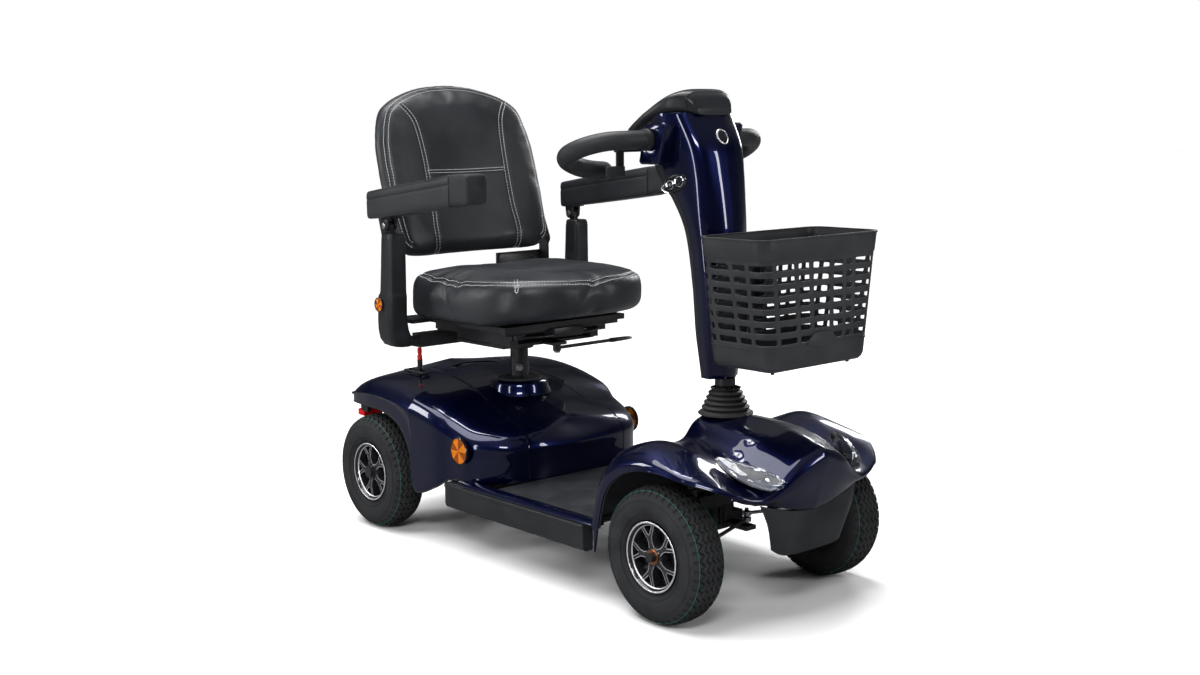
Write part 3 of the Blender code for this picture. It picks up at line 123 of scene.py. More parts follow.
def build_studio():
    scene = bpy.context.scene
    scene.view_settings.view_transform = "Standard"
    scene.view_settings.look = "None"
    world = bpy.data.worlds.new("studio")
    scene.world = world
    world.use_nodes = True
    nodes, links = world.node_tree.nodes, world.node_tree.links
    nodes.clear()
    out = nodes.new("ShaderNodeOutputWorld")
    mix = nodes.new("ShaderNodeMixShader")
    path = nodes.new("ShaderNodeLightPath")
    seen = nodes.new("ShaderNodeBackground")
    seen.inputs["Color"].default_value = (1, 1, 1, 1)
    seen.inputs["Strength"].default_value = 1.0
    lit = nodes.new("ShaderNodeBackground")
    lit.inputs["Strength"].default_value = WORLD_STRENGTH
    ramp = nodes.new("ShaderNodeValToRGB")
    place = nodes.new("ShaderNodeTexCoord")
    split = nodes.new("ShaderNodeSeparateXYZ")
    ramp.color_ramp.elements[0].position = 0.0
    ramp.color_ramp.elements[0].color = (0.22, 0.23, 0.25, 1)
    ramp.color_ramp.elements[1].position = 0.9
    ramp.color_ramp.elements[1].color = (1.0, 1.0, 1.0, 1)
    middle_stop = ramp.color_ramp.elements.new(0.35)
    middle_stop.color = (0.05, 0.055, 0.065, 1)
    links.new(place.outputs["Generated"], split.inputs["Vector"])
    links.new(split.outputs["Z"], ramp.inputs["Fac"])
    links.new(ramp.outputs["Color"], lit.inputs["Color"])
    links.new(path.outputs["Is Camera Ray"], mix.inputs["Fac"])
    links.new(lit.outputs["Background"], mix.inputs[1])
    links.new(seen.outputs["Background"], mix.inputs[2])
    links.new(mix.outputs["Shader"], out.inputs["Surface"])

    floor_mesh = bmesh.new()
    bmesh.ops.create_grid(floor_mesh, x_segments=1, y_segments=1, size=FLOOR_HALF)
    floor = from_bmesh("studio_floor", floor_mesh)
    bpy.context.scene.collection.objects.link(floor)
    ground = Coat("studio_floor", FLOOR_COLOUR, 0.85)
    mirrored = ground.nodes.new("ShaderNodeLightPath")
    shade = ground.nodes.new("ShaderNodeMix")
    shade.data_type = "RGBA"
    shade.inputs["A"].default_value = (*FLOOR_COLOUR, 1)
    shade.inputs["B"].default_value = (*FLOOR_IN_REFLECTIONS, 1)
    ground.links.new(mirrored.outputs["Is Glossy Ray"], shade.inputs["Factor"])
    ground.links.new(shade.outputs["Result"], ground.shader.inputs["Base Color"])
    floor.data.materials.append(ground.made)

    sun = bpy.data.lights.new("even_daylight", "SUN")
    sun.energy = SUN_STRENGTH
    sun.angle = math.radians(SUN_ANGLE)
    holder = bpy.data.objects.new("even_daylight", sun)
    holder.rotation_euler = (math.radians(-12), math.radians(-14), 0)
    bpy.context.scene.collection.objects.link(holder)
    for light in AREA_LIGHTS:
        area_light(*light)


# ---- materials ---------------------------------------------------------------------------------------------


class Coat:
    """A Principled material with its node tree at hand."""

    def __init__(self, name, colour, roughness, metallic=0.0):
        self.made = bpy.data.materials.new(name)
        self.made.use_nodes = True
        self.nodes, self.links = self.made.node_tree.nodes, self.made.node_tree.links
        self.shader = self.nodes["Principled BSDF"]
        self.set("Base Color", (*colour, 1))
        self.set("Roughness", roughness)
        self.set("Metallic", metallic)
        self.made.diffuse_color = (*colour, 1)

    def set(self, socket, value):
        self.shader.inputs[socket].default_value = value
        return self

    def texture(self, kind, scale, **sockets):
        place = self.nodes.new("ShaderNodeTexCoord")
        node = self.nodes.new(f"ShaderNodeTex{kind}")
        node.inputs["Scale"].default_value = scale
        for socket, value in sockets.items():
            node.inputs[socket].default_value = value
        self.links.new(place.outputs["Object"], node.inputs["Vector"])
        return node

    def bump(self, height, strength, distance, before=None):
        node = self.nodes.new("ShaderNodeBump")
        node.inputs["Strength"].default_value = strength
        node.inputs["Distance"].default_value = distance
        self.links.new(height, node.inputs["Height"])
        if before:
            self.links.new(before.outputs["Normal"], node.inputs["Normal"])
        self.links.new(node.outputs["Normal"], self.shader.inputs["Normal"])
        return node

    def spread(self, value, socket, low, high):
        """The socket runs from low to high as the texture's value runs from 0.3 to 0.7."""
        node = self.nodes.new("ShaderNodeMapRange")
        node.inputs["From Min"].default_value, node.inputs["From Max"].default_value = 0.3, 0.7
        node.inputs["To Min"].default_value, node.inputs["To Max"].default_value = low, high
        self.links.new(value, node.inputs["Value"])
        self.links.new(node.outputs["Result"], self.shader.inputs[socket])

    def tint(self, value, low, high, low_at=0.35, high_at=0.65):
        """Colour from low to high along a texture's value."""
        ramp = self.nodes.new("ShaderNodeValToRGB")
        ramp.color_ramp.elements[0].position, ramp.color_ramp.elements[1].position = low_at, high_at
        ramp.color_ramp.elements[0].color, ramp.color_ramp.elements[1].color = (*low, 1), (*high, 1)
        self.links.new(value, ramp.inputs["Fac"])
        self.links.new(ramp.outputs["Color"], self.shader.inputs["Base Color"])


def plain(name, colour, roughness, metallic=0.0):
    return Coat(name, colour, roughness, metallic).made


def car_paint():
    coat = Coat("midnight_blue_paint", (0.0003, 0.0017, 0.019), 0.30, 0.75)
    coat.set("Coat Weight", 1.0).set("Coat Roughness", 0.015).set("Coat IOR", 1.42).set("Specular IOR Level", 0.12)
    flakes = coat.texture("Voronoi", 2600.0)
    coat.tint(flakes.outputs["Distance"], (0.00015, 0.0009, 0.011), (0.00045, 0.0028, 0.032), 0.1, 0.7)
    shift = coat.texture("Noise", 1400.0, Detail=1.0)
    coat.spread(shift.outputs["Fac"], "Roughness", 0.24, 0.36)
    return coat.made


def textured_plastic(name, colour, grain=900.0, depth=0.00018, roughness=(0.44, 0.60)):
    coat = Coat(name, colour, sum(roughness) / 2)
    coat.set("Specular IOR Level", 0.22)
    fine = coat.texture("Noise", grain, Detail=3.0)
    coat.bump(fine.outputs["Fac"], 0.35, depth)
    broad = coat.texture("Noise", 14.0, Detail=4.0)
    coat.spread(broad.outputs["Fac"], "Roughness", *roughness)
    coat.tint(broad.outputs["Fac"], tuple(0.85 * c for c in colour), tuple(1.2 * c for c in colour))
    return coat.made


def vinyl():
    coat = Coat("black_vinyl", (0.017, 0.019, 0.022), 0.40)
    coat.set("Specular IOR Level", 0.34)
    pebbles = coat.texture("Voronoi", 620.0)
    first = coat.bump(pebbles.outputs["Distance"], 0.28, 0.00035)
    creases = coat.texture("Noise", 60.0, Detail=6.0, Roughness=0.65)
    coat.bump(creases.outputs["Fac"], 0.10, 0.0012, first)
    broad = coat.texture("Noise", 9.0, Detail=5.0)
    coat.spread(broad.outputs["Fac"], "Roughness", 0.33, 0.47)
    coat.tint(broad.outputs["Fac"], (0.010, 0.0115, 0.0135), (0.017, 0.0190, 0.0220))
    return coat.made


def rubber(name, colour, grain=300.0, roughness=(0.60, 0.80)):
    coat = Coat(name, colour, sum(roughness) / 2)
    coat.set("Specular IOR Level", 0.16)
    fine = coat.texture("Noise", grain, Detail=5.0)
    coat.bump(fine.outputs["Fac"], 0.25, 0.0003)
    dust = coat.texture("Noise", 18.0, Detail=6.0, Roughness=0.7)
    coat.spread(dust.outputs["Fac"], "Roughness", *roughness)
    coat.tint(dust.outputs["Fac"], tuple(0.8 * c for c in colour), tuple(1.35 * c for c in colour))
    return coat.made


def foam():
    coat = Coat("grip_foam", (0.012, 0.013, 0.015), 0.5)
    coat.set("Specular IOR Level", 0.28)
    cells = coat.texture("Voronoi", 1500.0)
    coat.bump(cells.outputs["Distance"], 0.30, 0.00025)
    broad = coat.texture("Noise", 25.0, Detail=3.0)
    coat.spread(broad.outputs["Fac"], "Roughness", 0.42, 0.56)
    return coat.made


def powder_coat(name, colour, roughness=(0.30, 0.42)):
    coat = Coat(name, colour, sum(roughness) / 2, 0.25)
    peel = coat.texture("Noise", 420.0, Detail=2.0)
    coat.bump(peel.outputs["Fac"], 0.18, 0.0003)
    broad = coat.texture("Noise", 30.0, Detail=4.0)
    coat.spread(broad.outputs["Fac"], "Roughness", *roughness)
    return coat.made


def bright_metal(name, colour, roughness=(0.18, 0.34)):
    coat = Coat(name, colour, sum(roughness) / 2, 1.0)
    marks = coat.texture("Noise", 90.0, Detail=8.0, Roughness=0.75)
    coat.spread(marks.outputs["Fac"], "Roughness", *roughness)
    coat.bump(marks.outputs["Fac"], 0.06, 0.0003)
    coat.tint(marks.outputs["Fac"], tuple(0.85 * c for c in colour), tuple(min(1, 1.08 * c) for c in colour))
    return coat.made


def gloss_plastic(name, colour, roughness=0.12):
    coat = Coat(name, colour, roughness)
    coat.set("Coat Weight", 0.4).set("Coat Roughness", 0.05).set("Specular IOR Level", 0.25)
    broad = coat.texture("Noise", 22.0, Detail=3.0)
    coat.spread(broad.outputs["Fac"], "Roughness", 0.8 * roughness, 1.3 * roughness)
    return coat.made


def lens(name, colour, glow=0.0):
    """A tinted prismatic lens: moulded facets under a clear coat. glow is an emission; on the amber reflectors it is
    a painted glow, as they are no lamps.
    """
    coat = Coat(name, colour, 0.22)
    coat.set("Coat Weight", 0.12).set("Coat Roughness", 0.05).set("Specular IOR Level", 0.12)
    coat.set("Emission Color", (*colour, 1)).set("Emission Strength", glow)
    facets = coat.texture("Voronoi", 420.0)
    coat.bump(facets.outputs["Distance"], 0.5, 0.0006)
    coat.tint(facets.outputs["Distance"], tuple(0.6 * c for c in colour), tuple(min(1, 1.25 * c) for c in colour),
              0.1, 0.8)
    return coat.made


def clear_lens():
    coat = Coat("headlamp_lens", (0.93, 0.95, 1.0), 0.03)
    coat.set("Transmission Weight", 1.0).set("IOR", 1.45).set("Coat Weight", 0.5)
    ribs = coat.texture("Noise", 240.0, Detail=1.0)
    coat.bump(ribs.outputs["Fac"], 0.04, 0.0004)
    return coat.made


def thread():
    coat = Coat("stitch_thread", (0.42, 0.42, 0.42), 0.7)
    twist = coat.texture("Noise", 1800.0, Detail=2.0)
    coat.bump(twist.outputs["Fac"], 0.4, 0.0002)
    coat.tint(twist.outputs["Fac"], (0.30, 0.30, 0.31), (0.58, 0.58, 0.58))
    return coat.made


# ---- shapes ------------------------------------------------------------------------------------------------


def from_bmesh(name, shape):
    mesh = bpy.data.meshes.new(name)
    shape.to_mesh(mesh)
    shape.free()
    return bpy.data.objects.new(name, mesh)


def spline(points, samples):
    """Catmull-Rom curve through the points along their first axis."""
    points = np.asarray(points, float)
    ends = np.concatenate([2 * points[:1] - points[1:2], points, 2 * points[-1:] - points[-2:-1]])
    at = np.linspace(0, len(points) - 1, samples)
    first = np.minimum(at.astype(int), len(points) - 2)
    t = (at - first).reshape(-1, *[1] * (points.ndim - 1))
    a, b, c, d = (ends[first + shift] for shift in range(4))
    return 0.5 * (2 * b + (c - a) * t + (2 * a - 5 * b + 4 * c - d) * t**2 + (3 * b - a - 3 * c + d) * t**3)


def grid_faces(shape, grid, wrap=False):
    corners = [[shape.verts.new(point) for point in row] for row in grid]
    for row, following in zip(corners, corners[1:]):
        count = len(row)
        for i in range(count if wrap else count - 1):
            j = (i + 1) % count
            shape.faces.new((row[i], row[j], following[j], following[i]))
    return corners


def loft(name, rings, caps=True):
    shape = bmesh.new()
    corners = grid_faces(shape, rings, wrap=True)
    if caps:
        shape.faces.new(corners[0])
        shape.faces.new(corners[-1])
    bmesh.ops.recalc_face_normals(shape, faces=shape.faces)
    return from_bmesh(name, shape)


def box(name, low, high):
    low, high = Vector(low), Vector(high)
    shape = bmesh.new()
    bmesh.ops.create_cube(shape, size=1)
    for vertex in shape.verts:
        vertex.co = Vector(a * b for a, b in zip(vertex.co, high - low)) + (low + high) / 2
    return from_bmesh(name, shape)


def rounded_box(name, low, high, radius, segments=3):
    obj = box(name, low, high)
    return bevel(obj, radius, segments, 30)


def bevel(obj, width, segments=2, angle=35):
    edge = obj.modifiers.new("bevel", "BEVEL")
    edge.width = width
    edge.segments = segments
    edge.limit_method = "ANGLE"
    edge.angle_limit = math.radians(angle)
    edge.harden_normals = False
    return obj


def subdivide(obj, levels=1):
    change = obj.modifiers.new("smooth", "SUBSURF")
    change.levels = change.render_levels = levels
    return obj


def rod(name, start, end, radius, sides=32, end_radius=None):
    start, end = Vector(start), Vector(end)
    along = end - start
    shape = bmesh.new()
    bmesh.ops.create_cone(
        shape, cap_ends=True, segments=sides, radius1=radius,
        radius2=radius if end_radius is None else end_radius, depth=along.length,
    )
    turn = Z_AXIS.rotation_difference(along).to_matrix().to_4x4()
    bmesh.ops.transform(shape, matrix=Matrix.Translation((start + end) / 2) @ turn, verts=shape.verts)
    return from_bmesh(name, shape)


def turned(name, profile, centre, axis=Z_AXIS, steps=64, closed=False):
    """A profile of (radius, height) turned about the axis through centre."""
    shape = bmesh.new()
    turn = Z_AXIS.rotation_difference(Vector(axis)).to_matrix()
    rings = []
    for radius, height in profile:
        if radius < 1e-6:
            rings.append([shape.verts.new(Vector(centre) + turn @ Vector((0, 0, height)))])
            continue
        rings.append([
            shape.verts.new(Vector(centre) + turn @ Vector((
                radius * math.cos(2 * math.pi * i / steps), radius * math.sin(2 * math.pi * i / steps), height,
            )))
            for i in range(steps)
        ])
    pairs = list(zip(rings, rings[1:])) + ([(rings[-1], rings[0])] if closed else [])
    for a, b in pairs:
        for i in range(steps):
            j = (i + 1) % steps
            if len(a) == 1:
                shape.faces.new((a[0], b[j], b[i]))
            elif len(b) == 1:
                shape.faces.new((a[i], a[j], b[0]))
            else:
                shape.faces.new((a[i], a[j], b[j], b[i]))
    bmesh.ops.recalc_face_normals(shape, faces=shape.faces)
    return from_bmesh(name, shape)


def tube(name, points, radius, sides=16, cyclic=False, radii=None):
    """A round tube along the points, with capped ends. radii gives a radius for each point."""
    points = [Vector(point) for point in points]
    count = len(points)
    tangents = []
    for i in range(count):
        before = points[i - 1] if i or cyclic else points[0]
        after = points[(i + 1) % count] if i < count - 1 or cyclic else points[-1]
        tangents.append((after - before).normalized())
    normal = tangents[0].orthogonal().normalized()
    rings = []
    for i, (point, tangent) in enumerate(zip(points, tangents)):
        if i:
            normal = (tangents[i - 1].rotation_difference(tangent) @ normal).normalized()
        normal = (normal - tangent * normal.dot(tangent)).normalized()
        other = tangent.cross(normal)
        size = radii[i] if radii else radius
        rings.append([
            point + size * (math.cos(2 * math.pi * k / sides) * normal + math.sin(2 * math.pi * k / sides) * other)
            for k in range(sides)
        ])
    if cyclic:
        rings.append(rings[0])
    obj = loft(name, rings, caps=not cyclic)
    if cyclic:
        weld(obj)
    return obj


def weld(obj, distance=0.00002):
    shape = bmesh.new()
    shape.from_mesh(obj.data)
    bmesh.ops.remove_doubles(shape, verts=shape.verts, dist=distance)
    bmesh.ops.recalc_face_normals(shape, faces=shape.faces)
    shape.to_mesh(obj.data)
    shape.free()
    return obj


PLANES = {
    "XY": Matrix(((1, 0, 0), (0, 1, 0), (0, 0, 1))),
    "XZ": Matrix(((1, 0, 0), (0, 0, -1), (0, 1, 0))),
    "YZ": Matrix(((0, 0, 1), (1, 0, 0), (0, 1, 0))),
}


def slab(name, outline, plane, low, high):
    """A flat outline in the plane, filled from low to high along the plane's normal."""
    def ring(depth):
        return [PLANES[plane] @ Vector((u, v, -depth if plane == "XZ" else depth)) for u, v in outline]
    return loft(name, [ring(low), ring(high)])


def rounded_ring(centre, half_u, half_v, plane, points=32, power=3.0):
    ring = []
    for i in range(points):
        angle = 2 * math.pi * (i + 0.5) / points
        u = half_u * math.copysign(abs(math.cos(angle)) ** (2 / power), math.cos(angle))
        v = half_v * math.copysign(abs(math.sin(angle)) ** (2 / power), math.sin(angle))
        ring.append(Vector(centre) + PLANES[plane] @ Vector((u, v, 0)))
    return ring


def arc(centre, radius, start, end, points):
    angles = np.radians(np.linspace(start, end, points))
    return [(centre[0] + radius * math.cos(a), centre[1] + radius * math.sin(a)) for a in angles]


def panel(name, sections, along, across, thickness, mirror=True, flip=False):
    """A shell over a net of section points: splined both ways, mirrored at X = 0 and thickened inwards."""
    net = spline(np.swapaxes(spline(sections, along), 0, 1), across)
    if mirror:
        net[..., 0] = np.maximum(net[..., 0], 0)
    shape = bmesh.new()
    grid_faces(shape, net)
    if flip:
        bmesh.ops.reverse_faces(shape, faces=shape.faces)
    obj = from_bmesh(name, shape)
    if mirror:
        other_half = obj.modifiers.new("mirror", "MIRROR")
        other_half.merge_threshold = 0.00001
    wall = obj.modifiers.new("wall", "SOLIDIFY")
    wall.thickness = thickness
    wall.offset = -1
    return obj


def applied(obj):
    """The evaluated shape as a plain mesh, without modifiers."""
    linked = bool(obj.users_collection)
    if not linked:
        bpy.context.scene.collection.objects.link(obj)
    bpy.context.view_layer.update()
    graph = bpy.context.evaluated_depsgraph_get()
    mesh = bpy.data.meshes.new_from_object(obj.evaluated_get(graph), depsgraph=graph)
    obj.modifiers.clear()
    old = obj.data
    obj.data = mesh
    bpy.data.meshes.remove(old)
    if not linked:
        bpy.context.scene.collection.objects.unlink(obj)
    return obj


def cut(obj, *cutters, operation="DIFFERENCE"):
    """Boolean with each cutter, applied at once."""
    for cutter in cutters:
        bpy.context.scene.collection.objects.link(cutter)
        change = obj.modifiers.new("cut", "BOOLEAN")
        change.operation = operation
        change.solver = "EXACT"
        change.object = cutter
    applied(obj)
    for cutter in cutters:
        bpy.data.objects.remove(cutter, do_unlink=True)
    return obj


def joined(name, objects):
    """Several meshes as one object."""
    shape = bmesh.new()
    for obj in objects:
        if obj.modifiers:
            applied(obj)
        shape.from_mesh(obj.data)
        bpy.data.objects.remove(obj, do_unlink=True)
    return from_bmesh(name, shape)


def smooth(obj, angle=35):
    obj.data.shade_smooth()
    obj.data.set_sharp_from_angle(angle=math.radians(angle))
    return obj


def add(obj, coat, body, replaces=(), angle=35, slot=None, until=None):
    """Links a finished piece, moved into the frame's coordinates, and makes it ride on its body.

    until names a second body and two heights; given it, the piece is baked in place and rides on no body. slot names
    the frame's material that the piece stands in for, where it isn't the coat's usual one in SLOTS; it is not used.
    """
    if obj.modifiers:
        applied(obj)
    obj.data.transform(Matrix.Translation(SHIFT))
    smooth(obj, angle)
    obj.data.materials.clear()
    obj.data.materials.append(coat)
    bpy.context.scene.collection.objects.link(obj)
    if until:
        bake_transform(obj)
    else:
        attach(obj, body)
    if replaces:
        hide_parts(*([replaces] if isinstance(replaces, str) else replaces))
    slot or SLOTS[coat]
    return obj


# ---- coats -------------------------------------------------------------------------------------------------

PAINT = car_paint()
PLASTIC = textured_plastic("black_textured_plastic", (0.011, 0.012, 0.013))
DARK_PLASTIC = textured_plastic("dark_basket_plastic", (0.018, 0.019, 0.021), 500.0, 0.0002, (0.40, 0.54))
GLOSS = gloss_plastic("black_gloss_plastic", (0.008, 0.008, 0.010))
POWDER = powder_coat("black_powder_coat", (0.012, 0.012, 0.014))
ZINC = bright_metal("zinc_plated_steel", (0.40, 0.40, 0.42), (0.26, 0.42))
CHROME = bright_metal("chrome", (0.80, 0.81, 0.83), (0.10, 0.18))
SILVER = bright_metal("machined_alloy", (0.92, 0.92, 0.93), (0.36, 0.48))
RIM_PAINT = gloss_plastic("rim_black_paint", (0.012, 0.012, 0.014), 0.20)
TYRE = rubber("tyre_rubber", (0.013, 0.0135, 0.0145))
BOOT = rubber("bellows_rubber", (0.016, 0.016, 0.017), 500.0, (0.45, 0.62))
FOAM = foam()
VINYL = vinyl()
THREAD = thread()
# The amber reflectors' glow is painted light: they shine though they are no lamps.
AMBER = lens("amber_reflector", (0.42, 0.110, 0.001), 0.05)
# Darker copy of the amber lens for every other reflector wedge: painted shade on the facets, with a fainter painted
# glow.
SHADED_AMBER = lens("amber_reflector_painted_shade", (0.17, 0.034, 0.001), 0.02)
RED = lens("red_lens", (0.50, 0.006, 0.006), 0.05)
CLEAR = clear_lens()

GREEN = plain("green_line", (0.003, 0.090, 0.058), 0.5)
COPPER = bright_metal("copper_brown", (0.42, 0.16, 0.08), (0.25, 0.4))
RED_PLASTIC = gloss_plastic("red_plastic", (0.42, 0.008, 0.010), 0.2)
WHITE = gloss_plastic("white_marking", (0.75, 0.75, 0.75), 0.4)
SATIN_PLASTIC = textured_plastic("black_satin_plastic", (0.012, 0.013, 0.015), 700.0, 0.00008, (0.28, 0.40))
MAT = rubber("floor_mat_rubber", (0.017, 0.018, 0.020), 700.0, (0.35, 0.52))
PAD_RUBBER = rubber("pad_end_rubber", (0.018, 0.019, 0.021), 1100.0, (0.48, 0.62))

COATS_BY_SLOT = {
    "tyre_rubber": (TYRE,),
    "alloy_rim": (RIM_PAINT, COPPER),
    "zinc_plated_steel": (ZINC, WHITE, CHROME),
    "black_textured_plastic": (GLOSS, PLASTIC, SATIN_PLASTIC, DARK_PLASTIC),
    "midnight_blue_paint": (PAINT,),
    "soft_rubber": (BOOT, MAT),
    "black_powder_coat": (POWDER,),
    "red_lens": (RED_PLASTIC, RED),
    "grip_foam": (FOAM,),
    "black_vinyl": (THREAD, VINYL, PAD_RUBBER),
    "headlamp_lens": (CLEAR,),
}
SLOTS = {coat: slot for slot, coats in COATS_BY_SLOT.items() for coat in coats}

CAD_COATS = {
    POWDER: (
        "main_frame", "steering_head", "front_axle_beam", "seat_post", "drive_unit", "motor_controller",
        "steering_shaft", "tiller_column", "basket_bracket", "seat_swivel_plate", "seat_base", "swivel_lever",
        "knuckle_left", "knuckle_right", "rear_axle_left", "rear_axle_right",
    ),
    PLASTIC: (
        "battery_pack", "freewheel_lever", "rear_bumper", "floor_pan", "front_bumper", "tiller_rear_cover",
        "console_housing", "throttle_lever", "speed_knob", "key", "backrest_shell", "sill_trim_left",
        "sill_trim_right", "arm_post_left", "arm_post_right",
    ),
    DARK_PLASTIC: ("basket",),
    ZINC: ("tilt_lever", "tie_rod_left", "tie_rod_right"),
    RIM_PAINT: ("front_left_rim", "front_right_rim", "rear_left_rim", "rear_right_rim"),
    TYRE: ("front_left_tyre", "front_right_tyre", "rear_left_tyre", "rear_right_tyre"),
    BOOT: ("gaiter",),
    FOAM: ("handlebar",),
    VINYL: ("seat_cushion", "backrest_pad", "armrest_left", "armrest_right"),
    AMBER: ("side_reflector_left", "side_reflector_right"),
    RED: ("horn_button", "tail_light_left", "tail_light_right"),
    CLEAR: ("headlight_left", "headlight_right"),
    PAINT: ("rear_cowl", "battery_cover", "front_shroud", "tiller_front_cover"),
}


def coat_cad_nodes():
    for coat, names in CAD_COATS.items():
        for name in names:
            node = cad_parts[name]
            if not node.material_slots:
                node.data.materials.append(coat)
            for holder in node.material_slots:
                holder.material = coat


# ---- wheels ------------------------------------------------------------------------------------------------

HALF_WHEELBASE, TYRE_RADIUS = 0.4568, 0.127
TRACKS = {"front": 0.215, "rear": 0.228}
TYRE_SIDE = [  # radius and height of the tyre's outer half, from the bead to the middle of the tread
    (0.0655, 0.0275), (0.0710, 0.0335), (0.0790, 0.0385), (0.0880, 0.0412), (0.0970, 0.0413), (0.1050, 0.0398),
    (0.1110, 0.0372), (0.1160, 0.0338), (0.1200, 0.0296), (0.1235, 0.0240), (0.1258, 0.0165), (0.1268, 0.0080),
    (0.1270, 0.0000),
]
WAVES, STEPS_PER_WAVE = 44, 10
GROOVE_DEPTH = 0.0042
GROOVES = ((-0.0235, 0.0013), (-0.0118, 0.0014), (0.0, 0.0014), (0.0118, 0.0014), (0.0235, 0.0013))


def placed(obj, centre, outward):
    """Turns a piece made about +Z so that +Z points outward along X, and moves it to the centre."""
    turn = Matrix.Rotation(math.pi / 2 * outward, 4, "Y")
    obj.data.transform(Matrix.Translation(centre) @ turn)
    return obj


def tread_depth(angle, height):
    """How deep the tread is cut: zigzag grooves round the tyre and notches on the shoulders."""
    phase = (angle / (2 * math.pi) * WAVES) % 1
    zigzag = (abs(phase - 0.5) * 4 - 1) * 0.0036
    depth = 0.0
    for centre, half in GROOVES:
        near = abs(height - centre - zigzag)
        depth = max(depth, GROOVE_DEPTH * min(1, max(0, (half + 0.0007 - near) / 0.0007)))
    edge = abs(height)
    if 0.0272 < edge < 0.0356 and 0.25 < (phase + (0.5 if height > 0 else 0)) % 1 < 0.58:
        depth = max(depth, 0.0030)
    return depth


def build_tyre(name, centre, outward, body):
    side = spline(TYRE_SIDE, 50)
    profile = np.concatenate([side, side[-2::-1] * (1, -1)])
    inner = [(0.0622, -0.0268), (0.0619, -0.012), (0.0619, 0.012), (0.0622, 0.0268)]
    steps = WAVES * STEPS_PER_WAVE
    shape = bmesh.new()
    rings = []
    for i in range(steps):
        angle = 2 * math.pi * i / steps
        ring = []
        for radius, height in profile:
            reach = radius - (tread_depth(angle, height) if radius > 0.108 else 0)
            ring.append(shape.verts.new((reach * math.cos(angle), reach * math.sin(angle), height)))
        ring += [shape.verts.new((r * math.cos(angle), r * math.sin(angle), h)) for r, h in inner]
        rings.append(ring)
    for ring, following in zip(rings, rings[1:] + rings[:1]):
        for k in range(len(ring)):
            j = (k + 1) % len(ring)
            shape.faces.new((ring[k], following[k], following[j], ring[j]))
    bmesh.ops.recalc_face_normals(shape, faces=shape.faces)
    tyre = placed(from_bmesh(f"{name}_tyre_tread", shape), centre, outward)
    add(tyre, TYRE, body, f"{name}_tyre", 30)
    rings = []
    for height in (1, -1):
        for radius, at, size in ((0.0775, 0.0384, 0.0007), (0.1045, 0.0402, 0.0007), (0.0700, 0.0332, 0.0008)):
            rings.append(hoop(radius, height * at, size))
    add(placed(joined(f"{name}_tyre_mould_rings", rings), centre, outward), TYRE, body, slot="tyre_rubber")
    lines = [hoop(0.12010, height * 0.0296, 0.0005) for height in (1, -1)]
    add(placed(joined(f"{name}_tyre_line", lines), centre, outward), GREEN, body, slot="tyre_rubber")


def hoop(radius, height, thickness, steps=160):
    profile = [(radius + thickness * math.cos(a), height + thickness * math.sin(a))
               for a in np.linspace(0, 2 * math.pi, 8, endpoint=False)]
    return turned("hoop", profile, (0, 0, 0), steps=steps, closed=True)


def spoke_outline(grow):
    """A Y-shaped spoke in the (along, across) plane, from the hub out to its two feet on the lip."""
    half = [(0.014, 0.0075), (0.026, 0.0052), (0.034, 0.0062), (0.0555, 0.0180)]
    inner = [(0.0570, 0.0118), (0.0400, 0.0012)]
    upper = [(u, v + grow) for u, v in half] + [(u + grow * 0.3, v - grow) for u, v in inner]
    return upper + [(u, -v) for u, v in reversed(upper)]


